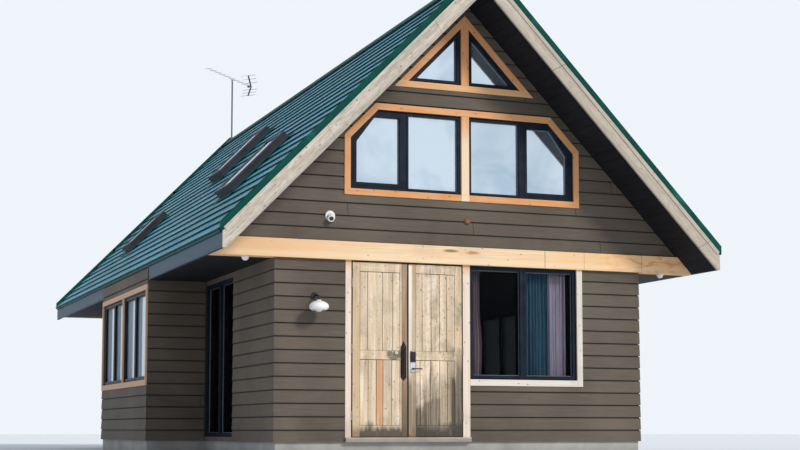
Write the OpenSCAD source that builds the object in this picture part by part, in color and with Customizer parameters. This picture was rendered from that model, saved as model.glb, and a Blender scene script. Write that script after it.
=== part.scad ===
// A-frame cabin: a narrow ground floor box with two shallow side wings, all under one steep
// metal roof. x runs along the front, y runs back, z is up. The origin is on the ground,
// in the middle of the plan.

/* [Plan] */
// Width of the ground floor box over its siding
box_w = 5460; // [5200:10:5800]
// Length of the building from the front wall to the rear wall
box_l = 11830; // [11000:10:13000]
// How far each side wing stands out from the box
wing_d = 910; // [800:10:1100]
// Distance from the front wall back to the wings
wing_y = 3640; // [3300:10:4200]
// Length of each wing
wing_l = 3640; // [3500:10:4200]
// Thickness of the outside walls
wall_t = 130; // [100:5:180]

/* [Levels] */
// Height of the concrete base above the ground
base_h = 200; // [120:10:400]
// Thickness of the ground floor boards and their bearers
floor_t = 60; // [40:5:100]
// How far the base stands back from the siding
base_inset = 15; // [5:1:30]
// Underside of the front beam and of the soffit, above the ground
beam_z = 2630; // [2620:10:2800]
// Height of the front beam and of the upper floor behind it
beam_h = 245; // [200:5:300]
// How far the front beam stands out from the siding
beam_out = 60; // [40:5:90]

/* [Roof] */
// Pitch of the roof
roof_pitch = 45.7; // [44:0.1:47]
// Thickness of rafters and boarding, square to the slope
roof_t = 200; // [180:5:220]
// How far the roof runs out past the gable walls, without the barge boards
verge_out = 720; // [600:10:800]
// Thickness of the eave fascia boards
fascia_t = 30; // [20:1:40]
// Width of the barge boards, square to the slope
barge_w = 210; // [190:5:230]
// Thickness of the barge boards
barge_t = 35; // [25:1:45]
// Number of lapped metal courses from eave to ridge
course_count = 21; // [16:1:26]
// Height of the front lip of a course above the boarding
course_lip = 32; // [20:1:40]
// Height of a course where the next one laps it
course_low = 10; // [6:1:14]
// How far the metal courses run past the fascia
drip_out = 25; // [15:1:40]
// Height of the metal drip edge on the fascia
drip_h = 50; // [35:1:70]
// Gap between pieces that lie on each other along a slope
seat = 0.3; // [0.1:0.1:0.5]
// Width of the metal verge caps along the gable
verge_cap_w = 80; // [60:5:110]
// Height of the verge caps above the boarding, square to the slope
verge_cap_h = 75; // [60:1:90]
// Width of each side of the ridge cap, along the slope
ridge_cap_w = 190; // [150:5:240]
// Thickness of the ridge cap
ridge_cap_t = 14; // [8:1:20]

/* [Front door] */
// Left side of the doorway, measured from the ridge line
door_x0 = -1675; // [-1750:5:-1600]
// Right side of the doorway, measured from the ridge line
door_x1 = -45; // [-60:5:-40]
// Width of the left door post
post_left_w = 82; // [60:1:110]
// Width of the right door post
post_right_w = 107; // [80:1:110]
// How far the posts and the leaves stand in front of the siding
post_out = 20; // [15:1:30]
// Height of the doorway sill above the floor boards
sill_h = 0; // [0:1:20]
// Gap at the hinges, between each leaf and its post
hinge_gap = 12; // [10:1:16]
// Gap between the two leaves
meeting_gap = 12; // [8:1:16]
// Gap under the leaves
door_bottom_gap = 10; // [8:1:15]
// Gap over the leaves
door_top_gap = 24; // [20:1:30]
// Thickness of a door leaf
leaf_t = 45; // [40:1:55]
// Width of the stiles of a leaf
stile_w = 110; // [90:1:130]
// Height of the top and middle rails of a leaf
rail_h = 120; // [100:1:140]
// Height of the bottom rail of a leaf
bottom_rail_h = 150; // [120:1:180]
// Height of the middle rail's underside above the leaf's foot
mid_rail_z = 1035; // [950:5:1100]
// Depth to which the boards sit back from the stiles
panel_drop = 10; // [6:1:13]
// Width of the door stop along the head and the posts
stop_w = 25; // [15:1:40]
// Height of the door stop under the beam
stop_h = 60; // [40:5:80]
// Gap between a closed leaf and its stop
stop_gap = 6; // [4:1:10]
// Radius of a hinge knuckle
knuckle_r = 8; // [6:0.5:8]
// Width of a hinge's flat leaf
plate_w = 44; // [30:1:50]
// Thickness of a hinge's flat leaf
plate_t = 3; // [2:0.5:4]
// Length of a hinge
hinge_l = 120; // [90:1:150]
// Radius of a hinge pin
pin_r = 4; // [3:0.5:4.5]
// Running clearance of pins and levers
run_gap = 0.3; // [0.2:0.05:0.4]

/* [Door fittings] */
// Width of the long pull plate on the left leaf
pull_w = 60; // [45:1:70]
// Length of the pull plate
pull_l = 405; // [350:5:450]
// Height of the pull plate's foot above the leaf's foot
pull_z = 795; // [700:5:850]
// Distance from the pull plate to the leaf's free edge
pull_edge = 40; // [30:1:50]
// Distance from the pull plate's edge to the middle of the old lock's knob
knob_gap = 64; // [50:1:90]
// Width of the keypad lock
keypad_w = 70; // [60:1:80]
// Height of the keypad
keypad_h = 140; // [120:1:160]
// Thickness of the keypad
keypad_t = 24; // [18:1:32]
// Height of the steel lock plate under the keypad
lock_plate_h = 135; // [110:1:150]
// Thickness of the steel lock plate
lock_plate_t = 10; // [6:1:14]
// Height of the lever's spindle above the leaf's foot
lever_z = 915; // [880:5:940]
// Distance from the right leaf's free edge to the lever's spindle
lever_edge = 62; // [50:1:75]
// Length of the lever from its spindle
lever_l = 118; // [90:1:140]
// Radius of the lever's grip
lever_r = 9; // [7:0.5:11]

/* [Windows] */
// Width of the ground floor window units
unit_w = 1660; // [1500:5:1700]
// Height of the ground floor window units
unit_h = 1575; // [1400:5:1600]
// Width of the outer frame of every window
frame_w = 45; // [35:1:60]
// Width of a sash frame
sash_w = 50; // [40:1:60]
// Depth of every window frame
frame_d = 90; // [70:1:110]
// Width of the centre stiles of a window
stile_mid_w = 100; // [80:1:130]
// Thickness of the double glass
glass_t = 20; // [12:1:28]
// How far the dark frames stand back from the siding
frame_back = 12; // [5:1:25]
// Width of the timber trim boards round the windows
trim_w = 88; // [70:1:100]
// Thickness of the trim boards
trim_t = 26; // [18:1:35]
// Width of the timber mullion between the upper windows
mullion_w = 115; // [90:1:140]
// Distance along the siding from the hexagonal window's shoulder to the roof's underside
hex_edge = 290; // [240:5:400]
// Sill of the hexagonal window above the ground
hex_z = 3605; // [3550:5:3700]
// Height of the upright sides of the hexagonal window
hex_side_h = 695; // [600:5:750]
// Height of the hexagonal window
hex_h = 1105; // [1000:5:1150]
// Distance along the siding from the triangular window's foot to the roof's underside
tri_edge = 305; // [290:5:400]
// Sill of the triangular window above the ground
tri_z = 5146; // [5100:5:5160]
// Sill of the wing windows above the ground
wing_sill_z = 1120; // [900:10:1300]
// Head of the wing windows above the ground
wing_head_z = 2490; // [2400:10:2500]
// Width of the timber post between the wing windows
wing_post_w = 80; // [60:1:110]
// Width of the tall side windows
tall_w = 1595; // [1400:5:1700]
// Head of the tall side windows above the ground
tall_head_z = 2560; // [2450:5:2590]

/* [Roof windows] */
// Width of a roof window along the eave
roof_win_w = 780; // [600:10:900]
// Length of the two front roof windows up the slope
roof_win_l = 1180; // [980:10:1200]
// Length of the rear roof window up the slope
roof_win_short_l = 900; // [700:10:980]
// Height of a roof window's curb above the boarding
roof_win_h = 150; // [110:5:180]
// Width of the curb's sides
curb_w = 60; // [40:1:90]

/* [Fittings] */
// Diameter of the wall lamp's shade
lamp_d = 265; // [240:5:320]
// How far the wall lamp's shade stands out from the siding
lamp_out = 215; // [180:5:260]
// Distance from the doorway to the middle of the wall lamp
lamp_gap = 520; // [400:5:600]
// Height of the wall lamp's arm above the ground
lamp_z = 2130; // [2000:10:2200]
// Diameter of the security camera's base
cam_d = 118; // [90:1:140]
// Distance from the doorway to the middle of the security camera
cam_gap = 305; // [200:5:500]
// Height of the security camera above the ground
cam_z = 3200; // [3150:10:3300]
// Distance from the doorway to the middle of the vent cap
cap_gap = 75; // [50:5:150]
// Height of the vent cap above the ground
cap_z = 3240; // [3150:10:3300]
// Distance from the siding's corner to the domed lamps under the beam
dome_gap = 400; // [300:10:500]
// Diameter of the domed lamps under the beam
dome_d = 96; // [80:1:120]
// Radius of the curtain rail
rail_r = 9; // [6:0.5:12]
// Distance from the soffit down to the middle of the curtain rail
rail_drop = 45; // [30:1:60]
// Height of the antenna's mast above the ridge
mast_h = 1320; // [1200:10:1500]
// How far the mast stands back past the rear wall, over the rear verge
mast_back = 585; // [400:5:600]
// Length of the antenna's boom
boom_l = 1900; // [1700:10:2000]
// Length of the antenna's short cross rods
director_l = 180; // [120:5:240]
// Number of the antenna's short cross rods
director_count = 9; // [5:1:12]
// Length of each arm of the antenna's reflector
reflector_l = 260; // [200:10:300]
// Angle between the boom and each arm of the reflector
reflector_angle = 60; // [40:5:75]

/* [Hidden] */
$fn = 48;
half_w = box_w / 2;
eave_x = half_w + wing_d;
eave_in = eave_x - fascia_t;
floor_z = base_h + floor_t;
wing_y1 = wing_y + wing_l;
slope = tan(roof_pitch);
beam_top = beam_z + beam_h;
front_w_in = half_w - wall_t;
wing_in = eave_x - wall_t;
deck_rise = roof_t / cos(roof_pitch);
verge_l = box_l + 2 * verge_out;
barge_y = verge_out + barge_t;
cap_y = barge_y + 6;
slope_l = (eave_x + drip_out) / cos(roof_pitch);
leaf_w = (door_x1 - door_x0 - 2 * hinge_gap - meeting_gap) / 2;
leaf_z = floor_z + sill_h + door_bottom_gap;
leaf_h = beam_z - door_top_gap - leaf_z;
leaf_y = -post_out;
hinge_y = leaf_y - knuckle_r;
hinge_heights = [0.12, 0.5, 0.88];
window_x0 = door_x1 + post_right_w;
window_z = beam_z - unit_h;
hex_half_w = eave_in - (hex_z + hex_side_h - beam_z) / slope - hex_edge;
hex_top_half_w = hex_half_w - (hex_h - hex_side_h) / slope;
tri_half_w = eave_in - (tri_z - beam_z) / slope - tri_edge;
tri_h = tri_half_w * slope;
leaf_x_left = door_x0 + hinge_gap;
leaf_x_right = door_x1 - hinge_gap - leaf_w;
lever_x = leaf_x_right + lever_edge;
rear_window_x = [-half_w / 2, half_w / 2];
rear_unit_h = unit_h - trim_w;
wing_window_w = (wing_l - 2 * wall_t - wing_post_w) / 2;
wing_window_y = [wing_y + wall_t, wing_y1 - wall_t - wing_window_w];
// Roof windows: distances back from the front wall and up the left slope, and length
roof_win_places = [
  [1800, 1210, roof_win_l], [5500, 2400, roof_win_l], [8500, 1110, roof_win_short_l]
];

// Heights of the underside and of the top of the roof boarding at a distance x from the ridge line
function roof_under(x) = beam_z + (eave_in - abs(x)) * slope;
function roof_top(x) = roof_under(x) + deck_rise;

// Places its children with y measured back from the front wall
module from_front() {
  translate([0, -box_l / 2, 0]) children();
}

// Turns its children round to the rear wall
module at_rear() {
  rotate([0, 0, 180]) children();
}

// Its children and their mirror image across the ridge line
module both_sides() {
  children();
  mirror([1, 0, 0]) children();
}

// An outline drawn in x and z, given a depth in y from y0 to y1
module slab_xz(y0, y1) {
  translate([0, y1, 0]) rotate([90, 0, 0]) linear_extrude(y1 - y0) children();
}

// An outline drawn in y and z, given a depth in x from x0 to x1
module slab_yz(x0, x1) {
  translate([x0, 0, 0]) rotate([90, 0, 90]) linear_extrude(x1 - x0) children();
}

module box(x0, x1, y0, y1, z0, z1) {
  translate([x0, y0, z0]) cube([x1 - x0, y1 - y0, z1 - z0]);
}

// Outline of the plan, drawn in by a distance on every side
module plan(inset) {
  translate([-half_w + inset, inset]) square([box_w - 2 * inset, box_l - 2 * inset]);
  translate([-eave_x + inset, wing_y + inset])
    square([2 * (eave_x - inset), wing_l - 2 * inset]);
}

module foundation() color("darkgray") from_front() {
  linear_extrude(base_h) plan(base_inset);
}

module floor_ground() color("burlywood") from_front() {
  translate([0, 0, base_h]) linear_extrude(floor_t) plan(wall_t);
}

// Cross section of the upper floor and of the beams, cut at its ends to the roof's underside
module deck_section() {
  polygon([[-eave_in, beam_z], [eave_in, beam_z],
    [eave_in - beam_h / slope, beam_top], [-eave_in + beam_h / slope, beam_top]]);
}

module floor_upper() color("dimgray") from_front() {
  slab_xz(wall_t, box_l - wall_t) deck_section();
}

module beam() {
  slab_xz(-beam_out, wall_t) deck_section();
}

module beam_front() color("navajowhite") from_front() beam();

module beam_rear() color("navajowhite") at_rear() from_front() beam();

module wall_front_left() color("saddlebrown") from_front() {
  box(-half_w, door_x0 - post_left_w, 0, wall_t, base_h, beam_z);
}

module wall_front_right() color("saddlebrown") from_front() difference() {
  box(window_x0, half_w, 0, wall_t, base_h, beam_z);
  box(window_x0 - 1, window_x0 + unit_w, -1, wall_t + 1, window_z, beam_z + 1);
}

// Front part of the left side wall, with the tall window beside the wing
module side_wall_front() {
  difference() {
    box(-half_w, -front_w_in, wall_t, wing_y, base_h, beam_z);
    box(-half_w - 1, -front_w_in + 1, wing_y - tall_w, wing_y + 1, floor_z, tall_head_z);
  }
}

module side_walls_front() color("saddlebrown") from_front() both_sides() side_wall_front();

module side_walls_rear() color("saddlebrown") from_front() both_sides() {
  box(-half_w, -front_w_in, wing_y1, box_l - wall_t, base_h, beam_z);
}

module wall_rear() color("saddlebrown") at_rear() from_front() difference() {
  box(-half_w, half_w, 0, wall_t, base_h, beam_z);
  for (x = rear_window_x) {
    box(x - unit_w / 2, x + unit_w / 2, -1, wall_t + 1, window_z, beam_z - trim_w);
  }
}

// Left wing: an end wall at the front and rear, the window wall between, and the boarded band
// over it that closes the roof's edge
module wing() {
  for (y = [wing_y, wing_y1 - wall_t]) {
    box(-eave_x, -front_w_in, y, y + wall_t, base_h, beam_z);
  }
  difference() {
    box(-eave_x, -wing_in, wing_y + wall_t, wing_y1 - wall_t, base_h, beam_z);
    for (y = wing_window_y) {
      box(-eave_x - 1, -wing_in + 1, y, y + wing_window_w, wing_sill_z, wing_head_z);
    }
  }
  box(-eave_x, -eave_in, wing_y, wing_y1, beam_z, roof_top(eave_x));
}

module wing_left() color("saddlebrown") from_front() wing();

module wing_right() color("saddlebrown") from_front() mirror([1, 0, 0]) wing();

// Outline of the hexagonal window, grown by a distance on every side
module hexagon(grow = 0) {
  corner = grow * tan(roof_pitch / 2);
  polygon([for (s = [[-1, 0], [-1, 1], [-1, 2], [1, 2], [1, 1], [1, 0]]) [
    s[0] * (s[1] == 2 ? hex_top_half_w + corner : hex_half_w + grow),
    hex_z + (s[1] == 0 ? -grow : s[1] == 1 ? hex_side_h + corner : hex_h + grow)
  ]]);
}

// Outline of the triangular window, grown by a distance on every side
module triangle(grow = 0) {
  side = grow / sin(roof_pitch);
  foot = tri_half_w + side + grow / slope;
  polygon([[-foot, tri_z - grow], [foot, tri_z - grow], [0, tri_z - grow + foot * slope]]);
}

module gable() {
  slab_xz(0, wall_t) difference() {
    polygon([[-eave_in + beam_h / slope, beam_top], [eave_in - beam_h / slope, beam_top],
      [0, roof_under(0)]]);
    hexagon();
    triangle();
  }
}

module gable_front() color("saddlebrown") from_front() gable();

module gable_rear() color("saddlebrown") at_rear() from_front() gable();

// Rafters and boarding of the left slope
module roof_slab() {
  slab_xz(-verge_out, box_l + verge_out) polygon([
    [-eave_in, roof_under(eave_in)], [0, roof_under(0)],
    [0, roof_top(0)], [-eave_in, roof_top(eave_in)]
  ]);
}

module roof_left() color("dimgray") from_front() roof_slab();

module roof_right() color("dimgray") from_front() mirror([1, 0, 0]) roof_slab();

// Moves a drawing to the left slope: x up the slope from the drip edge, y square to the slope
module on_left_slope() {
  translate([-eave_x - drip_out, roof_top(eave_x + drip_out)]) rotate(roof_pitch)
    translate([0, seat]) children();
}

// Lapped courses, each one highest at its front lip, then a flat seat for the ridge cap
module courses() {
  laid = slope_l - ridge_cap_w;
  step = laid / course_count;
  polygon(concat([[0, 0]],
    [for (i = [0:course_count - 1]) each [[i * step, course_lip], [(i + 1) * step, course_low]]],
    [[laid, course_lip], [slope_l, course_lip], [slope_l, 0]]));
}

// Metal courses of one slope between the verge caps, with the drip edge that hangs on the fascia
module roofing() {
  slab_xz(verge_cap_w - cap_y, box_l + cap_y - verge_cap_w) {
    on_left_slope() courses();
    polygon([
      [-eave_x - drip_out, roof_top(eave_x + drip_out) + course_low / 2],
      [-eave_x, roof_top(eave_x) + course_low / 2],
      [-eave_x, roof_top(eave_x) - drip_h],
      [-eave_x - drip_out, roof_top(eave_x) - drip_h]
    ]);
  }
}

module roofing_left() color("seagreen") from_front() difference() {
  roofing();
  for (at = roof_win_places) roof_window_place(at) {
    translate([0, 0, -roof_t]) cube([at[2], roof_win_w, 2 * roof_t]);
  }
}

module roofing_right() color("seagreen") from_front() mirror([1, 0, 0]) roofing();

module ridge_cap() color("seagreen") from_front() {
  low = (course_lip + 2 * seat) / cos(roof_pitch);
  high = low + ridge_cap_t / cos(roof_pitch);
  w = ridge_cap_w * cos(roof_pitch);
  slab_xz(verge_cap_w - cap_y, box_l + cap_y - verge_cap_w) polygon([
    [-w, roof_top(w) + low], [0, roof_top(0) + low], [w, roof_top(w) + low],
    [w, roof_top(w) + high], [0, roof_top(0) + high], [-w, roof_top(w) + high]
  ]);
}

// Metal cap along one verge, from drip edge to ridge
module verge_cap() {
  low = seat / cos(roof_pitch);
  high = verge_cap_h / cos(roof_pitch);
  slab_xz(-cap_y, verge_cap_w - cap_y) polygon([
    [-eave_x - drip_out, roof_top(eave_x + drip_out) + low], [0, roof_top(0) + low],
    [0, roof_top(0) + high], [-eave_x - drip_out, roof_top(eave_x + drip_out) + high]
  ]);
}

module verge_caps() color("green") {
  from_front() both_sides() verge_cap();
  at_rear() from_front() both_sides() verge_cap();
}

// Left barge board, its foot cut upright at the fascia and level at the soffit
module barge() {
  drop = barge_w / cos(roof_pitch);
  slab_xz(-barge_y, -verge_out) polygon([
    [-eave_x, roof_top(eave_x)], [0, roof_top(0)], [0, roof_top(0) - drop],
    [-eave_x + (beam_z - roof_top(eave_x) + drop) / slope, beam_z], [-eave_x, beam_z]
  ]);
}

module barge_front() color("tan") from_front() both_sides() barge();

module barge_rear() color("tan") at_rear() from_front() both_sides() barge();

module fascias() color("slategray") from_front() both_sides() {
  for (y = [[-verge_out, wing_y], [wing_y1, box_l + verge_out]]) {
    box(-eave_x, -eave_in, y[0], y[1], beam_z, roof_top(eave_x));
  }
}

// Knuckles of one hinge, those at the ends with the pin, or the middle one with its bore
module knuckles(middle) {
  third = hinge_l / 3;
  if (middle) {
    difference() {
      translate([0, 0, third + run_gap]) cylinder(r = knuckle_r, h = third - 2 * run_gap);
      translate([0, 0, third]) cylinder(r = pin_r + run_gap, h = third);
    }
  } else {
    for (z = [0, 2 * third]) translate([0, 0, z]) cylinder(r = knuckle_r, h = third);
    cylinder(r = pin_r, h = hinge_l);
  }
}

// Post, head and stop of the doorway, with the fixed hinge knuckles
module door_frame() color("wheat") from_front() {
  box(door_x0 - post_left_w, door_x0, -post_out, wall_t, floor_z, beam_z);
  box(door_x1, window_x0, -post_out, wall_t, floor_z, beam_z);
  box(door_x0 - post_left_w, window_x0, -beam_out, wall_t, base_h, floor_z + sill_h);
  stop_y = leaf_y + leaf_t + stop_gap;
  box(door_x0, door_x1, stop_y, wall_t, beam_z - stop_h, beam_z);
  box(door_x0, door_x0 + stop_w, stop_y, wall_t, floor_z + sill_h, beam_z - stop_h);
  box(door_x1 - stop_w, door_x1, stop_y, wall_t, floor_z + sill_h, beam_z - stop_h);
  hinges(door_x0 + hinge_gap / 2) hinge_half(false);
  hinges(door_x1 - hinge_gap / 2) mirror([1, 0, 0]) hinge_half(false);
}

// Puts its children at the foot of each hinge on an upright line through x
module hinges(x) {
  for (part = hinge_heights) {
    translate([x, hinge_y, leaf_z + part * leaf_h - hinge_l / 2]) children();
  }
}

// Half of a hinge, its flat leaf to the left of the pin on the face of a post or a door
module hinge_half(middle) {
  third = hinge_l / 3;
  knuckles(middle);
  translate([-knuckle_r - 1 - plate_w, knuckle_r - plate_t, 0]) cube([plate_w, plate_t, hinge_l]);
  for (z = middle ? [third] : [0, 2 * third]) {
    translate([-knuckle_r - 1, knuckle_r - plate_t, z + run_gap])
      cube([knuckle_r + 1, plate_t, third - 2 * run_gap]);
  }
}

// One leaf with its foot at z = 0 and its hinge side at x = 0
module door_leaf() {
  panel_x = stile_w;
  panel_w = leaf_w - 2 * stile_w;
  upper_z = mid_rail_z + rail_h;
  difference() {
    cube([leaf_w, leaf_t, leaf_h]);
    for (y = [-1, leaf_t - panel_drop]) {
      translate([panel_x, y, bottom_rail_h])
        cube([panel_w, panel_drop + 1, mid_rail_z - bottom_rail_h]);
      translate([panel_x, y, upper_z])
        cube([panel_w, panel_drop + 1, leaf_h - rail_h - upper_z]);
    }
  }
}

module door_left() color("peru") from_front() {
  translate([leaf_x_left, leaf_y, leaf_z]) door_leaf();
  hinges(leaf_x_left - hinge_gap / 2) mirror([1, 0, 0]) hinge_half(true);
}

module door_right() color("peru") from_front() {
  translate([leaf_x_right, leaf_y, leaf_z]) door_leaf();
  hinges(leaf_x_right + leaf_w + hinge_gap / 2) hinge_half(true);
}

// Long pull plate on the left leaf's meeting stile, with a bowed grip
module pull_plate() color("dimgray") from_front() {
  back_t = 4;
  grip_out = 36;
  x = leaf_x_left + leaf_w - pull_edge - pull_w;
  z = leaf_z + pull_z;
  grip_x = x + pull_w / 2;
  box(x, x + pull_w, leaf_y - back_t, leaf_y, z, z + pull_l);
  for (end = [z + 60, z + pull_l - 60]) {
    translate([grip_x, leaf_y - back_t, end]) rotate([90, 0, 0]) cylinder(r = 7, h = grip_out);
  }
  translate([grip_x, leaf_y - back_t - grip_out, z + 45]) cylinder(r = 9, h = pull_l - 90);
  translate([x - knob_gap, leaf_y, z + pull_l - 70]) rotate([90, 0, 0]) cylinder(r = 24, h = 14);
}

module keypad_lock() color("black") from_front() {
  x = lever_x - keypad_w / 2;
  plate_z = leaf_z + lever_z - 45;
  box(x, x + keypad_w, leaf_y - lock_plate_t, leaf_y, plate_z, plate_z + lock_plate_h);
  box(x, x + keypad_w, leaf_y - keypad_t, leaf_y,
    plate_z + lock_plate_h, plate_z + lock_plate_h + keypad_h);
}

module door_lever() color("silver") from_front() {
  hub_l = 44;
  translate([lever_x, leaf_y - lock_plate_t - run_gap, leaf_z + lever_z]) {
    rotate([90, 0, 0]) cylinder(r = 13, h = hub_l);
    translate([0, -hub_l + lever_r, 0]) rotate([0, 90, 0]) cylinder(r = lever_r, h = lever_l);
    translate([lever_l, -hub_l + lever_r, 0]) sphere(r = lever_r);
  }
}

// Two-light window unit with its lower left corner at the origin, drawn in x and z
module unit_frame(w, h) {
  difference() {
    square([w, h]);
    unit_panes(w, h);
  }
}

module unit_panes(w, h) {
  pane_w = (w - 2 * (frame_w + 12) - stile_mid_w) / 2;
  for (x = [frame_w + 12, w - frame_w - 12 - pane_w]) {
    translate([x, frame_w + 12]) square([pane_w, h - 2 * (frame_w + 12)]);
  }
}

// Left half of the hexagonal window's opening, up to the centre mullion, drawn in by a distance
module hex_half(inset) {
  corner = inset * tan(roof_pitch / 2);
  polygon([
    [-hex_half_w + inset, hex_z + inset],
    [-hex_half_w + inset, hex_z + hex_side_h - corner],
    [-hex_top_half_w - corner, hex_z + hex_h - inset],
    [-mullion_w / 2 - inset, hex_z + hex_h - inset],
    [-mullion_w / 2 - inset, hex_z + inset]
  ]);
}

// Panes of the left half: an opening sash at the side and a fixed light in the middle
module hex_panes() {
  sash_x = -hex_half_w + 722;
  intersection() {
    hex_half(frame_w + sash_w);
    translate([-hex_half_w, hex_z]) square([sash_x + hex_half_w, hex_h]);
  }
  intersection() {
    hex_half(frame_w);
    translate([sash_x + stile_mid_w + 30, hex_z]) square([hex_half_w, hex_h]);
  }
}

// Left half of the triangular window's opening, up to the centre mullion, drawn in by a distance
module tri_half(inset) {
  x = mullion_w / 2 + inset;
  foot = tri_half_w - inset / sin(roof_pitch) - inset / slope;
  polygon([[-foot, tri_z + inset], [-x, tri_z + inset], [-x, tri_z + inset + (foot - x) * slope]]);
}

// Dark frames of the two gable windows
module upper_frames() {
  slab_xz(frame_back, frame_back + frame_d) both_sides() {
    difference() {
      hex_half(seat);
      hex_panes();
    }
    difference() {
      tri_half(seat);
      tri_half(frame_w + 12);
    }
  }
}

module front_window_frames() color("black") from_front() {
  upper_frames();
  slab_xz(frame_back, frame_back + frame_d) {
    translate([window_x0, window_z]) unit_frame(unit_w, unit_h);
  }
}

// Timber trim round the gable windows, and the mullions that divide them
module upper_trim() {
  slab_xz(-trim_t, 0) {
    difference() {
      hexagon(trim_w);
      hexagon(0);
    }
    difference() {
      triangle(trim_w);
      triangle(0);
    }
    translate([-mullion_w / 2, hex_z]) square([mullion_w, hex_h]);
    intersection() {
      triangle(0);
      translate([-mullion_w / 2, tri_z]) square([mullion_w, tri_h]);
    }
  }
  slab_xz(0, wall_t) {
    translate([-mullion_w / 2, hex_z]) square([mullion_w, hex_h]);
    intersection() {
      triangle(0);
      translate([-mullion_w / 2, tri_z]) square([mullion_w, tri_h]);
    }
  }
}

module front_window_trim() color("sandybrown") from_front() {
  upper_trim();
  slab_xz(-trim_t, 0) {
    translate([window_x0 + unit_w, window_z - trim_w]) square([trim_w, unit_h + trim_w]);
    translate([window_x0, window_z - trim_w]) square([unit_w, trim_w]);
  }
}

// Dark frames of the left wing's windows and of the tall window beside it
module side_frames() {
  slab_yz(-eave_x + frame_back, -eave_x + frame_back + frame_d) {
    for (y = wing_window_y) {
      translate([y, wing_sill_z]) unit_frame(wing_window_w, wing_head_z - wing_sill_z);
    }
  }
  slab_yz(-half_w + frame_back, -half_w + frame_back + frame_d) {
    translate([wing_y - tall_w, floor_z]) unit_frame(tall_w, tall_head_z - floor_z);
  }
}

module side_window_frames() color("black") from_front() both_sides() side_frames();

// Timber boards round the left wing's windows: head, foot, corners and middle post
module wing_trim() {
  slab_yz(-eave_x - trim_t, -eave_x) {
    difference() {
      translate([wing_y, wing_sill_z - trim_w])
        square([wing_l, wing_head_z - wing_sill_z + 2 * trim_w - 8]);
      translate([wing_y + 60, wing_sill_z])
        square([wing_l - 120, wing_head_z - wing_sill_z]);
    }
    translate([wing_y + wing_l / 2 - wing_post_w / 2, wing_sill_z])
      square([wing_post_w, wing_head_z - wing_sill_z]);
  }
}

module wing_window_trim() color("wheat") from_front() both_sides() wing_trim();

module rear_window_frames() color("black") at_rear() from_front() {
  upper_frames();
  slab_xz(frame_back, frame_back + frame_d) {
    for (x = rear_window_x) {
      translate([x - unit_w / 2, window_z]) unit_frame(unit_w, rear_unit_h);
    }
  }
}

module rear_window_trim() color("sandybrown") at_rear() from_front() {
  upper_trim();
  slab_xz(-trim_t, 0) for (x = rear_window_x) difference() {
    translate([x - unit_w / 2 - trim_w, window_z - trim_w])
      square([unit_w + 2 * trim_w, rear_unit_h + 2 * trim_w]);
    translate([x - unit_w / 2, window_z]) square([unit_w, rear_unit_h]);
  }
}

// Double glass of every wall window, a sheet to each light
module window_glass() color("lightblue") {
  glass_y = frame_back + frame_d / 2;
  from_front() {
    slab_xz(glass_y, glass_y + glass_t) {
      both_sides() {
        hex_panes();
        tri_half(frame_w + 12);
      }
      translate([window_x0, window_z]) unit_panes(unit_w, unit_h);
    }
    both_sides() {
      slab_yz(-eave_x + glass_y, -eave_x + glass_y + glass_t) for (y = wing_window_y) {
        translate([y, wing_sill_z]) unit_panes(wing_window_w, wing_head_z - wing_sill_z);
      }
      slab_yz(-half_w + glass_y, -half_w + glass_y + glass_t) {
        translate([wing_y - tall_w, floor_z]) unit_panes(tall_w, tall_head_z - floor_z);
      }
    }
  }
  at_rear() from_front() slab_xz(glass_y, glass_y + glass_t) {
    both_sides() {
      hex_panes();
      tri_half(frame_w + 12);
    }
    for (x = rear_window_x) {
      translate([x - unit_w / 2, window_z]) unit_panes(unit_w, rear_unit_h);
    }
  }
}

// Moves its children to a place on the left slope: x up the slope, y back, z square to it
module roof_window_place(at) {
  translate([-eave_x, at[0], roof_top(eave_x)]) rotate([0, -roof_pitch, 0])
    translate([at[1], 0, 0]) children();
}

module roof_windows() color("dimgray") from_front() {
  for (at = roof_win_places) roof_window_place(at) difference() {
    cube([at[2], roof_win_w, roof_win_h]);
    translate([curb_w, curb_w, -1])
      cube([at[2] - 2 * curb_w, roof_win_w - 2 * curb_w, roof_win_h + 2]);
  }
}

module roof_window_glass() color("lightblue") from_front() {
  for (at = roof_win_places) roof_window_place(at) {
    translate([curb_w, curb_w, roof_win_h - 12 - glass_t])
      cube([at[2] - 2 * curb_w, roof_win_w - 2 * curb_w, glass_t]);
  }
}

// Enamelled bell shade on a short bent arm
module wall_lamp() color("white") from_front() translate([door_x0 - lamp_gap, 0, lamp_z]) {
  bend = 60;
  rotate([90, 0, 0]) cylinder(r = 48, h = 18);
  rotate([90, 0, 0]) cylinder(r = 10, h = lamp_out - bend);
  translate([0, -lamp_out + bend, -bend]) rotate([0, 0, -90]) rotate([90, 0, 0])
    rotate_extrude(angle = 90) translate([bend, 0]) circle(r = 10);
  translate([0, -lamp_out, -bend - 20]) cylinder(r = 10, h = 20);
  translate([0, -lamp_out, -bend - 20]) rotate_extrude() lamp_profile(lamp_d / 2);
}

// Half section of the shade, hung from its neck at the origin
module lamp_profile(r) {
  polygon([[0, 0], [30, 0], [32, -34], [r * 0.55, -52], [r * 0.82, -76], [r * 0.95, -104],
    [r, -128], [r - 6, -128], [r * 0.95 - 6, -104], [r * 0.82 - 6, -80], [r * 0.55 - 4, -58],
    [0, -40]]);
}

module security_camera() color("white") from_front()
  translate([door_x0 - cam_gap, 0, cam_z]) {
  rotate([90, 0, 0]) {
    cylinder(r = cam_d / 2, h = 36);
    translate([0, 0, 36]) intersection() {
      sphere(r = cam_d / 2 - 10);
      cylinder(r = cam_d, h = cam_d);
    }
  }
}

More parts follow.
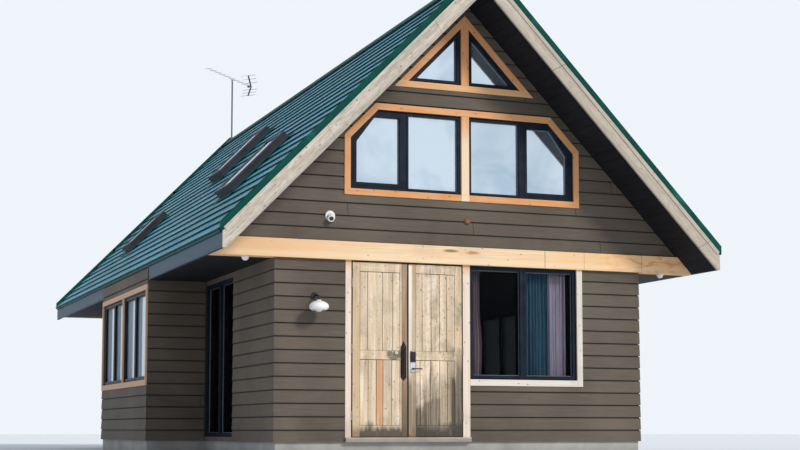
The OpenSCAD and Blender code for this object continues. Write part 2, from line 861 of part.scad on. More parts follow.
// Domed lamps on the beam's underside, over the two side porches
module soffit_lamps() color("white") from_front() both_sides() {
  translate([-half_w - dome_gap, 35, beam_z]) mirror([0, 0, 1]) {
    cylinder(r = dome_d / 2 + 6, h = 14);
    translate([0, 0, 14]) intersection() {
      sphere(r = dome_d / 2);
      cylinder(r = dome_d, h = dome_d);
    }
  }
}

module vent_cap() color("sienna") from_front() translate([door_x1 + cap_gap, 0, cap_z]) {
  rotate([90, 0, 0]) {
    cylinder(r = 46, h = 22);
    translate([0, 0, 22]) cylinder(r1 = 46, r2 = 30, h = 20);
  }
}

// Mast on the ridge, with a boom of short directors and a reflector at its end
module antenna() color("lightgray") from_front() {
  foot = roof_top(0) + (course_lip + ridge_cap_t + 3 * seat) / cos(roof_pitch);
  translate([0, box_l + mast_back, foot]) {
    cylinder(r = 16, h = mast_h);
    mast_saddle();
    translate([0, 0, mast_h - 5]) rotate([0, 0, 45]) boom();
  }
}

// Bent plate that straddles the ridge cap under the mast
module mast_saddle() {
  w = 110;
  t = 8;
  slab_xz(-60, 60) polygon([[-w, -w * slope], [0, 0], [w, -w * slope],
    [w, t - w * slope], [0, t], [-w, t - w * slope]]);
}

// Boom along x with its directors, a folded dipole and a corner reflector at the far end
module boom() {
  start = -boom_l * 0.55;
  end = start + boom_l;
  translate([start, 0, 0]) rotate([0, 90, 0]) cylinder(r = 9, h = boom_l);
  for (i = [0:director_count - 1]) {
    x = start + 40 + i * (boom_l - reflector_l - 70) / (director_count - 1);
    translate([x, 0, 0]) rotate([90, 0, 0]) cylinder(r = 4, h = director_l, center = true);
  }
  for (up = [-1, 1]) translate([end - 20, 0, 0]) rotate([0, -up * reflector_angle, 0]) {
    translate([-reflector_l, 0, 0]) rotate([0, 90, 0]) cylinder(r = 6, h = reflector_l);
    for (part = [1, 0.67, 0.34]) translate([-part * reflector_l, 0, 0]) rotate([90, 0, 0])
      cylinder(r = 4, h = 2 * director_l, center = true);
  }
}

module curtain_rail() color("silver") from_front() {
  translate([window_x0 + 20, wall_t + 60, beam_z - rail_drop]) rotate([0, 90, 0])
    cylinder(r = rail_r, h = unit_w - 40);
  for (x = [window_x0 + 60, window_x0 + unit_w - 60]) {
    box(x - 8, x + 8, wall_t + 50, wall_t + 70, beam_z - rail_drop, beam_z);
  }
}

// Soft solids of the curtains that hang behind the front window
module curtains() color("rosybrown") from_front() {
  foot = window_z - 120;
  top = beam_z - rail_drop - rail_r - run_gap;
  for (part = [[0.05, 0.17], [0.56, 0.78], [0.785, 0.96]]) {
    box(window_x0 + part[0] * unit_w, window_x0 + part[1] * unit_w,
      wall_t + 30, wall_t + 90, foot, top);
  }
}

foundation();
floor_ground();
floor_upper();
wall_front_left();
wall_front_right();
side_walls_front();
side_walls_rear();
wall_rear();
wing_left();
wing_right();
gable_front();
gable_rear();
beam_front();
beam_rear();
roof_left();
roof_right();
roofing_left();
roofing_right();
ridge_cap();
verge_caps();
barge_front();
barge_rear();
fascias();
door_frame();
door_left();
door_right();
pull_plate();
keypad_lock();
door_lever();
front_window_frames();
front_window_trim();
side_window_frames();
wing_window_trim();
rear_window_frames();
rear_window_trim();
window_glass();
roof_windows();
roof_window_glass();
wall_lamp();
security_camera();
soffit_lamps();
vent_cap();
antenna();
curtain_rail();
curtains();
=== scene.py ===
"""A timber A-frame cabin: concrete base, dark lapped siding, plank doors and a steep metal roof."""
import math

import bpy
from mathutils import Matrix, Vector


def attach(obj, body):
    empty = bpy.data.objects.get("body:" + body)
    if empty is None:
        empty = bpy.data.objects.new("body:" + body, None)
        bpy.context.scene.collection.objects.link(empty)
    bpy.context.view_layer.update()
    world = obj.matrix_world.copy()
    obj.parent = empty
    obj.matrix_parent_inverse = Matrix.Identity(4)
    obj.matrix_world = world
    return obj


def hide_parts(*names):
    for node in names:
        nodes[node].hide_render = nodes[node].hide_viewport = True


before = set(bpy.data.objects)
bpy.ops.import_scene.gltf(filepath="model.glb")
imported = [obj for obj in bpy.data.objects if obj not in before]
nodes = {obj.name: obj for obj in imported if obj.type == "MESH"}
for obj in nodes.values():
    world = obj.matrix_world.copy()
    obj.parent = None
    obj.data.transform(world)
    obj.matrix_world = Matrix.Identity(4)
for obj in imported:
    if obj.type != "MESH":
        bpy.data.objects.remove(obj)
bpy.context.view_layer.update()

# ------------------------ camera, light and floor
# The camera stands low in front of the left corner, as in the photograph. One large soft lamp
# comes from the front right, a pale surround fills the shadows, and the floor is plain.
bpy.ops.object.camera_add(
    location=(-8.382, -24.676, 0.370),
    rotation=(math.radians(95.053), 0, math.radians(-21.564)),
)
camera = bpy.context.object
camera.data.sensor_width = 36
camera.data.lens = 67.2
camera.data.shift_y = 0.0903
camera.data.clip_end = 500
bpy.context.scene.camera = camera
bpy.context.scene.view_settings.view_transform = "Standard"

bpy.ops.object.light_add(type="SUN", rotation=(math.radians(55), 0, math.radians(30)))
key_lamp = bpy.context.object.data
key_lamp.energy = 2.15
key_lamp.angle = math.radians(14)
key_lamp.color = (1.0, 0.96, 0.90)

surround = bpy.data.worlds.new("surround")
bpy.context.scene.world = surround
surround.use_nodes = True
sky = surround.node_tree
choice = sky.nodes.new("ShaderNodeMixShader")
fills = (sky.nodes["Background"], sky.nodes.new("ShaderNodeBackground"))
for i, (fill, colour, strength) in enumerate(zip(
        fills, ((0.80, 0.88, 1.0, 1), (0.86, 0.91, 0.96, 1)), (0.62, 1.0))):
    fill.inputs["Color"].default_value = colour
    fill.inputs["Strength"].default_value = strength
    sky.links.new(fill.outputs[0], choice.inputs[1 + i])
rays = sky.nodes.new("ShaderNodeLightPath").outputs
seen = rays["Is Camera Ray"]
for kind in ("Is Glossy Ray", "Is Transmission Ray"):
    either = sky.nodes.new("ShaderNodeMath")
    either.operation = "MAXIMUM"
    sky.links.new(seen, either.inputs[0])
    sky.links.new(rays[kind], either.inputs[1])
    seen = either.outputs[0]
sky.links.new(seen, choice.inputs[0])
sky.links.new(choice.outputs[0], sky.nodes["World Output"].inputs["Surface"])

bpy.ops.mesh.primitive_circle_add(vertices=96, radius=90, fill_type="NGON", location=(0, 0, -0.002))
floor = bpy.context.object
floor.name = "studio_floor"
floor_paint = bpy.data.materials.new("studio_floor")
floor_paint.use_nodes = True
floor_shader = floor_paint.node_tree.nodes["Principled BSDF"].inputs
floor_shader["Base Color"].default_value = (0.82, 0.84, 0.86, 1)
floor_shader["Roughness"].default_value = 0.9
floor.data.materials.append(floor_paint)


# ------------------------ concrete base
# A low raft of cast concrete under the box and both wings. It is grey, faintly blotched, with
# the joints of the form boards, and it is darker near the ground where it stays damp.
def plug(tree, socket, value):
    """Links a tone to a socket, or sets the socket's own value."""
    if isinstance(value, Tone):
        tree.links.new(value.socket, socket)
    else:
        socket.default_value = value


def math_node(operation, last=False):
    """A method for Tone that adds one Math node, with the tone itself first or last."""
    def method(tone, *others):
        node = tone.tree.nodes.new("ShaderNodeMath")
        node.operation = operation
        for socket, value in zip(node.inputs, (*others, tone) if last else (tone, *others)):
            plug(tone.tree, socket, value)
        return Tone(tone.tree, node.outputs[0])
    return method


class Tone:
    """A value in a material; arithmetic on it adds the nodes. Of masks, | is the larger."""

    __add__ = __radd__ = math_node("ADD")
    __sub__, __rsub__ = math_node("SUBTRACT"), math_node("SUBTRACT", last=True)
    __mul__ = __rmul__ = math_node("MULTIPLY")
    __truediv__ = math_node("DIVIDE")
    __lt__, __gt__ = math_node("LESS_THAN"), math_node("GREATER_THAN")
    __or__, __and__ = math_node("MAXIMUM"), math_node("MINIMUM")
    __abs__, floor, fraction, sine = map(math_node, ("ABSOLUTE", "FLOOR", "FRACT", "SINE"))

    def __init__(self, tree, socket):
        self.tree, self.socket = tree, socket

    def held(self):
        """The value kept from 0 to 1."""
        return (self | 0.0) & 1.0

    def between(self, low, high):
        """0 below low, 1 above high, even between them."""
        return ((self - low) / (high - low)).held()

    def below(self, low, high):
        """1 below low, 0 above high, even between them."""
        return 1 - self.between(low, high)

    def inside(self, low, high):
        """1 between two edges, and 0 beyond them."""
        return (self > low) * (self < high)

    def near(self, centre, reach):
        """1 at the centre, falling evenly to 0 at its reach."""
        return (1 - abs(self - centre) / reach).held()

    def within(self, centre, reach):
        """1 less than a reach from the centre, and 0 beyond it."""
        return abs(self - centre) < reach


class Finish:
    """A material of one surface, built from its place on the object."""

    def __init__(self, name, shine=0.5, **fixed):
        self.material = bpy.data.materials.new(name)
        self.material.use_nodes = True
        self.tree = self.material.node_tree
        self.shader = self.tree.nodes["Principled BSDF"]
        self.feed("Specular IOR Level", shine)
        for key, value in fixed.items():
            self.feed(key.replace("_", " "), value)
        self.place = self.add("ShaderNodeTexCoord")[3]
        self.x, self.y, self.z = self.parts(self.place)

    def add(self, kind, settings=None, sockets=None):
        node = self.tree.nodes.new(kind)
        for key, value in (settings or {}).items():
            setattr(node, key, value)
        for key, value in (sockets or {}).items():
            plug(self.tree, node.inputs[key], value)
        return [Tone(self.tree, out) for out in node.outputs]

    def feed(self, name, value):
        plug(self.tree, self.shader.inputs[name], value)

    def parts(self, vector):
        return self.add("ShaderNodeSeparateXYZ", {}, {0: vector})

    def vector(self, x, y, z):
        return self.add("ShaderNodeCombineXYZ", {}, {0: x, 1: y, 2: z})[0]

    def stretched(self, vector, scale):
        return self.add("ShaderNodeVectorMath", {"operation": "MULTIPLY"}, {0: vector, 1: scale})[0]

    def noise(self, scale, detail=3.0, distortion=0.0, over=None):
        """Noise over the object's place or another vector; three scales stretch it."""
        over = over or self.place
        if isinstance(scale, tuple):
            over, scale = self.stretched(over, scale), 1.0
        return self.add("ShaderNodeTexNoise", {}, {
            "Vector": over, "Scale": scale, "Detail": detail, "Distortion": distortion,
        })[0]

    def random(self, value):
        """A random number for each whole value."""
        return self.add("ShaderNodeTexWhiteNoise", {"noise_dimensions": "1D"}, {"W": value})[0]

    def mix(self, share, a, b):
        a, b = (end if isinstance(end, Tone) else (*end, 1.0) for end in (a, b))
        return self.add("ShaderNodeMix", {"data_type": "RGBA"}, {0: share, 6: a, 7: b})[2]

    def ground(self, share, a, b):
        """The colour under all stains, from a to b."""
        self.skin = self.mix(share, a, b)
        self.stain()

    def stain(self, *layers):
        """Lays colours over what is there, each by its own share."""
        for share, colour in layers:
            self.skin = self.mix(share, self.skin, colour)
        self.feed("Base Color", self.skin)

    def surface(self, roughness, height=None, depth=0.001, strength=1.0):
        self.feed("Roughness", roughness)
        if height is not None:
            self.feed("Normal", self.add("ShaderNodeBump", {}, {
                "Strength": strength, "Distance": depth, "Height": height,
            })[0])

    def cover(self, *pieces):
        """Puts the material on CAD nodes, by name, or on new pieces."""
        for piece in pieces:
            mesh = (nodes[piece] if isinstance(piece, str) else piece).data
            mesh.materials.clear()
            mesh.materials.append(self.material)


concrete = Finish("cast_concrete")
blotch = concrete.noise(2.2, 5.0)
pits = concrete.noise(60.0, 2.0)
damp = concrete.z.below(0.0, 0.16)
joint = ((concrete.x + concrete.y) / 0.9).fraction().within(0.5, 0.004)
concrete.ground(blotch.between(0.35, 0.7), (0.30, 0.29, 0.27), (0.46, 0.45, 0.42))
concrete.stain((damp * 0.5, (0.16, 0.155, 0.14)))
concrete.surface(0.85, blotch * 0.5 + pits * 0.3 - joint * 0.6, 0.006)
concrete.cover("foundation")

# ------------------------ floor boards
# The ground floor is laid with varnished softwood boards that run from the doors to the back.
# They show through the glass and when the doors stand open.
FLOOR_BOARD = 0.12
boards = Finish("floor_boards", Coat_Weight=0.25, Coat_Roughness=0.25)
board = boards.x / FLOOR_BOARD
edge = abs(board.fraction() - 0.5) > 0.485
fibre = boards.noise((40.0, 1.6, 40.0), 4.0)
boards.ground(fibre.between(0.3, 0.75), (0.36, 0.20, 0.09), (0.58, 0.38, 0.20))
boards.stain((boards.random(board.floor()) * 0.45, (0.30, 0.17, 0.08)), (edge, (0.05, 0.03, 0.02)))
boards.surface(0.35 + fibre * 0.2, fibre * 0.2 - edge, 0.003)
boards.cover("floor_ground")

# ------------------------ dark lapped siding
# The walls are clad in sawn softwood boards painted dark brown. Each laps the one below with a
# thick lower edge, and a shadow line shows at every lap, deepened by painted shade along the top of
# each board under the butt above. The boards are nailed to the frame.
FRONT = -5.915
HALF_W, EAVE_X = 2.730, 3.640
BASE_TOP, BEAM_Z, BEAM_TOP = 0.200, 2.630, 2.875
PITCH = math.radians(45.7)
SLOPE = math.tan(PITCH)
ROOF_IN = 3.610
LAP, BUTT = 0.176, 0.017
LOW_BUTT, GABLE_BUTT = 2.476, 3.059
CORNER = HALF_W + BUTT
DOOR_POST_LEFT, WINDOW_X0, WINDOW_HOLE_X1 = -1.757, 0.062, 1.810
SILL_Z, REAR_MID, REAR_HOLE_HALF = 0.967, 1.365, 0.918
HOUSE_LONG, WING_Y0, WING_Y1 = 11.830, 3.640, 7.280
WING_SILL, WING_HEAD = 1.032, 2.490
PORCH_Y0, PORCH_Z0, PORCH_Z1 = 2.045, 0.260, 2.560
SIDES = ((-1, -90), (1, 90))


def roof_under(x):
    return BEAM_Z + (ROOF_IN - abs(x)) * SLOPE


def clear_selection():
    if bpy.context.object and bpy.context.object.mode != "OBJECT":
        bpy.ops.object.mode_set(mode="OBJECT")
    bpy.ops.object.select_all(action="DESELECT")


def chosen(piece):
    """Selects the piece alone and makes it active."""
    clear_selection()
    bpy.context.view_layer.objects.active = piece
    piece.select_set(True)


def settled():
    """Puts the active piece's place, turn and size into its mesh."""
    bpy.ops.object.transform_apply(location=True, rotation=True, scale=True)
    return bpy.context.object


def block(x0, x1, y0, y1, z0, z1):
    """A squared block between two corners."""
    clear_selection()
    bpy.ops.mesh.primitive_cube_add(
        size=1, location=((x0 + x1) / 2, (y0 + y1) / 2, (z0 + z1) / 2),
        scale=(x1 - x0, y1 - y0, z1 - z0),
    )
    return settled()


def turned(piece, degrees=0, move=(0, 0, 0), axis="Z"):
    """Turns a piece about an axis, then moves it, in its mesh."""
    turn = Matrix.Rotation(math.radians(degrees), 4, axis)
    piece.data.transform(Matrix.Translation(move) @ turn)
    return piece


def modified(piece, kind, **settings):
    """Adds a modifier and applies it."""
    chosen(piece)
    modifier = piece.modifiers.new(kind.lower(), kind)
    for key, value in settings.items():
        setattr(modifier, key, value)
    bpy.ops.object.modifier_apply(modifier=modifier.name)
    return piece


def eased(piece, width, segments=1):
    """Rounds off the piece's sharp edges."""
    return modified(piece, "BEVEL", width=width, segments=segments, limit_method="ANGLE")


def repeated(piece, count, *step):
    """Repeats the piece, each time a step further on."""
    return modified(piece, "ARRAY", count=count, use_relative_offset=False,
                    use_constant_offset=True, constant_offset_displace=step)


def cut_out(piece, *tools):
    """Cuts each tool's shape out of the piece and throws the tool away."""
    for tool in tools:
        modified(piece, "BOOLEAN", object=tool, operation="DIFFERENCE", solver="EXACT")
        bpy.data.objects.remove(tool)
    return piece


def sliced(piece, point, normal):
    """Saws the piece along a plane and drops the part that the normal points to."""
    chosen(piece)
    bpy.ops.object.mode_set(mode="EDIT")
    bpy.ops.mesh.select_all(action="SELECT")
    bpy.ops.mesh.bisect(plane_co=point, plane_no=normal, use_fill=True, clear_outer=True)
    bpy.ops.object.mode_set(mode="OBJECT")
    return piece


def joined(pieces):
    clear_selection()
    for piece in pieces:
        piece.select_set(True)
    bpy.context.view_layer.objects.active = pieces[0]
    if len(pieces) > 1:
        bpy.ops.object.join()
    return bpy.context.object


def finished(pieces, name, finish, body="house", node=None):
    """Joins the pieces, finishes them and fixes them to a body, in place of a node if named."""
    piece = joined(pieces)
    piece.name = name
    piece.data.name = name
    finish.cover(piece)
    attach(piece, body)
    if node:
        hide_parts(node)
    return piece


def siding_field(u0, u1, z0=BASE_TOP, z1=BEAM_Z, first_butt=LOW_BUTT, holes=()):
    """Boards over a wall seen from outside, u to the right and z up, on the face y = 0."""
    lowest = first_butt + math.floor((z0 - first_butt) / LAP) * LAP
    field = block(u0, u1, -BUTT, 0, lowest, lowest + LAP - 0.011)
    for vertex in field.data.vertices:
        if vertex.co.z > lowest + LAP / 2 and vertex.co.y < -BUTT / 2:
            vertex.co.y += 0.009
    eased(field, 0.002)
    repeated(field, math.ceil((z1 - lowest) / LAP), 0, 0, LAP)
    past = [(u0 - 1, u1 + 1, z1, z1 + 1), (u0 - 1, u1 + 1, z0 - 1, z0)]
    return cut_out(field, *[block(a, b, -0.3, 0.3, c, d) for a, b, c, d in past + list(holes)])


def siding_paint(name, first_butt, length, jointed):
    """Dark brown paint, a little different on every board, over fine sawn grain, darker at each
    board's foot, with painted shade along its top under the lap.
    """
    finish = Finish(name, shine=0.2)
    level = (finish.z - first_butt) / LAP
    board = level.floor()
    shift = finish.random(board + 40.0)
    sawn = finish.noise((3.0, 3.0, 90.0), 4.0)
    fade = finish.noise(0.9, 4.0, 0.4)
    joint = ((finish.x + finish.y + shift * length) / length).fraction().within(
        0.5, 0.0006) * jointed(finish)
    finish.ground(fade.between(0.3, 0.72), (0.090, 0.072, 0.055), (0.154, 0.124, 0.096))
    finish.stain(
        (finish.random(board) * 0.40, (0.090, 0.073, 0.058)),
        (sawn.between(0.50, 0.8) * 0.35, (0.225, 0.185, 0.148)),
        # Darker at the foot of each board, and painted shade along its top, under the butt above.
        (level.fraction().below(0.0, 0.10) * 0.30, (0.055, 0.045, 0.038)),
        (level.fraction().between(0.86, 0.93) * 0.85, (0.022, 0.018, 0.015)),
        (joint, (0.01, 0.009, 0.008)),
    )
    finish.surface(0.55 + sawn * 0.25, sawn * 0.6 - joint * 1.5, 0.0025)
    return finish


def side_span(side, y0, y1):
    """A stretch of a side wall seen from outside: on the left, u falls towards the back."""
    return sorted((side * (FRONT + y0), side * (FRONT + y1)))


low_siding = siding_paint("siding_low", LOW_BUTT - 13 * LAP, length=3.64,
                          jointed=lambda finish: abs(finish.y) < -FRONT - 0.03)
high_siding = siding_paint("siding_gable", GABLE_BUTT - 2 * LAP, length=5.46,
                           jointed=lambda finish: finish.z > BEAM_TOP)
behind_boards = Finish("siding_shadow_gap", Roughness=0.8)
behind_boards.ground(behind_boards.noise(3.0), (0.018, 0.015, 0.013), (0.030, 0.026, 0.022))
behind_boards.cover(
    "wall_front_left", "wall_front_right", "side_walls_front", "side_walls_rear", "wall_rear",
    "wing_left", "wing_right", "gable_front", "gable_rear")

rear_holes = [(x - REAR_HOLE_HALF, x + REAR_HOLE_HALF, SILL_Z, BEAM_Z)
              for x in (-REAR_MID, REAR_MID)]
lower = [
    turned(siding_field(-CORNER, DOOR_POST_LEFT), 0, (0, FRONT, 0)),
    turned(siding_field(WINDOW_X0, CORNER, holes=[
        (WINDOW_X0 - 0.1, WINDOW_HOLE_X1, SILL_Z, 3.0)]), 0, (0, FRONT, 0)),
    turned(siding_field(-CORNER, CORNER, holes=rear_holes), 180, (0, -FRONT, 0)),
]
for side, degrees in SIDES:
    for out, y0, y1, z0, z1, holes in (
            (HALF_W, 0, WING_Y0, BASE_TOP, BEAM_Z,
             [(*side_span(side, PORCH_Y0, 3.70), PORCH_Z0, PORCH_Z1)]),
            (HALF_W, WING_Y1, HOUSE_LONG, BASE_TOP, BEAM_Z, []),
            (EAVE_X, WING_Y0 - BUTT, WING_Y1 + BUTT, BASE_TOP, WING_SILL, []),
            (EAVE_X, WING_Y0 - BUTT, WING_Y1 + BUTT, 2.570, 2.835, [])):
        field = siding_field(*side_span(side, y0, y1), z0, z1, holes=holes)
        lower.append(turned(field, degrees, (side * out, 0, 0)))
    inner, outer = sorted((side * CORNER, side * EAVE_X))
    lower.append(turned(siding_field(inner, outer), 0, (0, FRONT + WING_Y0, 0)))
    lower.append(turned(siding_field(-outer, -inner), 180, (0, FRONT + WING_Y1, 0)))
finished(lower, "siding_lower", low_siding)

HEX_HALF, HEX_TOP_HALF, HEX_Z, HEX_SIDE, HEX_H = 1.690, 1.290, 3.605, 0.695, 1.105
TRI_HALF, TRI_Z = 0.850, 5.146
TRIM_W = 0.088
hexagon = [(-HEX_HALF, HEX_Z), (HEX_HALF, HEX_Z), (HEX_HALF, HEX_Z + HEX_SIDE),
           (HEX_TOP_HALF, HEX_Z + HEX_H), (-HEX_TOP_HALF, HEX_Z + HEX_H),
           (-HEX_HALF, HEX_Z + HEX_SIDE)]
triangle = [(-TRI_HALF, TRI_Z), (TRI_HALF, TRI_Z), (0, TRI_Z + TRI_HALF * SLOPE)]


def side_normals(outline):
    """Outward normals of an outline that runs anticlockwise."""
    found = []
    for a, b in zip(outline, outline[1:] + outline[:1]):
        length = math.dist(a, b)
        found.append(((b[1] - a[1]) / length, -(b[0] - a[0]) / length))
    return found


def grown(outline, by):
    """The outline with every side moved out by a distance."""
    normals = side_normals(outline)
    made = []
    for i, point in enumerate(outline):
        n, m = normals[i - 1], normals[i]
        share = by / (1 + n[0] * m[0] + n[1] * m[1])
        made.append((point[0] + (n[0] + m[0]) * share, point[1] + (n[1] + m[1]) * share))
    return made


def outline_block(outline, y0, y1):
    """A block with an outline in x and z, sawn out of a squared one."""
    xs, zs = zip(*outline)
    piece = block(min(xs), max(xs), y0, y1, min(zs), max(zs))
    for point, normal in zip(outline, side_normals(outline)):
        if abs(normal[0]) > 1e-6 and abs(normal[1]) > 1e-6:
            sliced(piece, (point[0], 0, point[1]), (normal[0], 0, normal[1]))
    return piece


upper = []
reach = ROOF_IN - (BEAM_TOP - BEAM_Z) / SLOPE
for degrees, wall_y in ((0, FRONT), (180, -FRONT)):
    field = siding_field(-reach, reach, BEAM_TOP, roof_under(0), GABLE_BUTT)
    for side in (-1, 1):
        sliced(field, (side * ROOF_IN, 0, BEAM_Z), (side * math.sin(PITCH), 0, math.cos(PITCH)))
    cut_out(field, *[outline_block(grown(edge, TRIM_W), -0.2, 0.2) for edge in (hexagon, triangle)])
    upper.append(turned(field, degrees, (0, wall_y, 0)))
finished(upper, "siding_gables", high_siding)

# ------------------------ upper floor, rafters and soffit
# The slopes are rafters, closed below with narrow boards, which show under the eaves and the
# verges. The boards are painted nearly black: the shade under the eaves and verges is painted into
# them. The upper floor closes the side porches with the same boards.
soffit = Finish("soffit_painted_shade", shine=0.2)
strip = soffit.x / 0.105
groove = abs(strip.fraction() - 0.5) > 0.475
stain = soffit.noise((45.0, 2.0, 45.0), 4.0)
# Nearly black tones: painted shade under the eaves and verges.
soffit.ground(stain.between(0.35, 0.75), (0.006, 0.007, 0.010), (0.018, 0.018, 0.022))
soffit.stain((soffit.random(strip.floor()) * 0.4, (0.009, 0.009, 0.012)),
             (groove, (0.002, 0.002, 0.002)))
soffit.surface(0.6 + stain * 0.2, stain * 0.3 - groove, 0.003)
soffit.cover("floor_upper", "roof_left", "roof_right")


# ------------------------ front and rear beams
# A heavy planed softwood beam crosses each gable at first floor height, sawn off under the
# roof. It is bleached, amber at its left end, and stained grey and red where water has stood.
def sawn_wood(finish, grain, pale, deep, knots=1.0, often=3.5):
    """Softwood with fibres, broad bands and knots. Its grain runs along the vector's x."""
    bend = finish.noise((0.5, 2.5, 2.5), 2.0, over=grain)
    fibre = finish.noise((1.6, 75.0, 75.0), 5.0, over=grain)
    along, across, depth = finish.parts(grain)
    band = ((across + depth * 0.6) * 75.0 + bend * 26.0).sine() * 0.5 + 0.5
    cell = finish.add("ShaderNodeTexVoronoi", {"voronoi_dimensions": "2D"}, {
        "Vector": finish.vector(along * often, across * often * 1.6, 0.0), "Scale": 1.0,
    })[0]
    knot = cell.below(0.010 * often, 0.020 * often)
    finish.ground(fibre.between(0.3, 0.72), pale, deep)
    finish.stain((band * 0.30, deep), (knot * knots, tuple(c * 0.30 for c in deep)))
    return fibre * 0.6 + band * 0.2 - knot * 0.3


beam = Finish("planed_beam", shine=0.3)
x, y, z = beam.x, beam.y, beam.z
height = sawn_wood(beam, beam.vector(x, z, y), (0.92, 0.73, 0.49), (0.80, 0.54, 0.31), 0.7, 1.8)
blot = beam.noise(3.0, 4.0)
blush = beam.noise((1.6, 1.6, 4.8), 3.0, 0.5)
patches = beam.noise((4.4, 2.2, 15.4), 4.0, 0.8)
grey = x.near(-0.35, 0.8) * z.between(2.68, 2.80) * blot.between(0.35, 0.6)
dark = (x.near(-0.24, 0.16) * z.near(2.812, 0.030)).between(0.1, 0.5)
red = (x.near(0.06, 0.18) * z.near(2.800, 0.034)).between(0.1, 0.5)
butt = x.within(1.206, 0.003) | x.within(1.830, 0.0015) | x.within(2.770, 0.002)
beam.stain(
    (blush.between(0.42, 0.62) * 0.55, (0.90, 0.56, 0.31)),
    (x.below(-2.9, -1.4) * 0.70, (0.84, 0.49, 0.25)),
    (x.between(1.0, 2.3) * 0.85, (0.90, 0.53, 0.24)),
    (x.between(1.8, 2.8) * patches.between(0.46, 0.60) * 0.60, (0.60, 0.27, 0.11)),
    (z.near(2.68, 0.06) * 0.35, (0.93, 0.78, 0.55)),
    (grey * 0.7, (0.42, 0.38, 0.33)),
    (dark * 0.8, (0.12, 0.10, 0.09)),
    (red * blot.between(0.35, 0.5) * 0.85, (0.52, 0.20, 0.11)),
    (butt, (0.03, 0.02, 0.015)),
)
beam.surface(0.60 + blot * 0.2, height - butt * 2, 0.002)
beam.cover("beam_front", "beam_rear")

# ------------------------ barge boards
# Bleached softwood boards cover the ends of the roof along both verges, nailed to the rafters.
# A narrow strip is nailed over their upper edge, and they meet in a plumb joint at the peak.
RISE, RUN = math.sin(PITCH), math.cos(PITCH)
ROOF_DEEP = 0.200
EDGE_X = EAVE_X + 0.025
EDGE_Z = roof_under(EDGE_X) + ROOF_DEEP / RUN
VERGE_Y = 6.635


def slope_place(finish):
    """Distances up the slope from the drip edge, and square to the slope, on either side."""
    inward = EDGE_X - abs(finish.x)
    upward = finish.z - EDGE_Z
    return inward * RUN + upward * RISE, upward * RUN - inward * RISE


barge = Finish("bleached_barge_board", shine=0.25)
up, square = slope_place(barge)
grain = barge.vector(up, square, barge.y)
height = sawn_wood(barge, grain, (0.74, 0.67, 0.58), (0.50, 0.42, 0.34), 0.85)
weather = barge.noise((1.2, 9.0, 9.0), 4.0, over=grain)
mottle = barge.noise((3.0, 16.0, 0.0), 6.0, over=grain)
specks = barge.noise((9.0, 30.0, 0.0), 5.0, over=grain)
peak = abs(barge.x) < 0.002
split = ((up + barge.x * 0.3) / 2.6).fraction().within(0.5, 0.0008)
barge.stain(
    (weather.between(0.45, 0.70) * 0.6, (0.36, 0.33, 0.28)),
    (mottle.between(0.48, 0.64) * 0.45, (0.42, 0.37, 0.29)),
    (specks.between(0.52, 0.68) * 0.42, (0.27, 0.23, 0.17)),
    (specks.below(0.32, 0.46) * 0.28, (0.84, 0.74, 0.66)),
    (barge.x.between(0.0, 0.6) * 0.45, (0.42, 0.36, 0.28)),
    ((square + ROOF_DEEP).below(0.0, 0.05) * 0.35, (0.33, 0.29, 0.24)),
    (peak | split, (0.05, 0.04, 0.035)),
)
barge.surface(0.7 + weather * 0.2, height - peak * 2, 0.0025)
barge.cover("barge_front", "barge_rear")


def up_slope(piece):
    """Lays a piece on the left slope: its x up the slope from the drip edge, z square to it."""
    return turned(piece, -math.degrees(PITCH), (-EDGE_X, 0, EDGE_Z), "Y")


def copied(piece):
    twin = bpy.data.objects.new(piece.name, piece.data.copy())
    bpy.context.scene.collection.objects.link(twin)
    return twin


def mirrored(piece, axes=(-1, 1, 1)):
    """A mirror image of the piece, with its faces turned out again."""
    twin = copied(piece)
    twin.data.transform(Matrix.Diagonal((*axes, 1)))
    if axes[0] * axes[1] * axes[2] < 0:
        twin.data.flip_normals()
    return twin


def on_each_verge(piece, eave):
    """The front left verge's piece, sawn off at peak and eave, and its three images."""
    sliced(sliced(piece, (0, 0, 0), (1, 0, 0)), (-eave, 0, 0), (-1, 0, 0))
    return [piece, mirrored(piece), mirrored(piece, (1, -1, 1)), mirrored(piece, (-1, -1, 1))]


strip_y = -VERGE_Y - 0.035
strip = up_slope(eased(block(0.04, 5.40, strip_y - 0.011, strip_y, -0.058, -0.004), 0.003, 2))
finished(on_each_verge(strip, EAVE_X), "barge_strips", barge)

# ------------------------ metal roofing
# Teal painted steel is laid in 21 courses on each slope. Each course hooks over the one below with
# a rolled lip, and folded seams join its sheets, staggered from course to course. A paler band low
# on each course is a painted highlight, stronger on some sheets, and its upper part and its lip
# carry painted shade.
COURSES = 21
SLOPE_L = EDGE_X / RUN
RIDGE_LAP = 0.190
STEP = (SLOPE_L - RIDGE_LAP) / COURSES
LIP, LOW = 0.032, 0.010
ROOF_END = 6.596
SHEET = 1.82
TILT = math.degrees(math.atan((LIP - LOW) / STEP))

roofing = Finish("teal_steel", shine=0.10)
up, square = slope_place(roofing)
level = up / STEP + 0.01
course, place = level.floor(), level.fraction()
sheet_no = ((roofing.y + roofing.random(course) * SHEET) / SHEET).floor() * 31 + course
sheet_tone = roofing.random(sheet_no)
dust = roofing.noise(1.3, 5.0, 0.4)
wash = roofing.noise((1.0, 14.0, 1.0), 4.0)
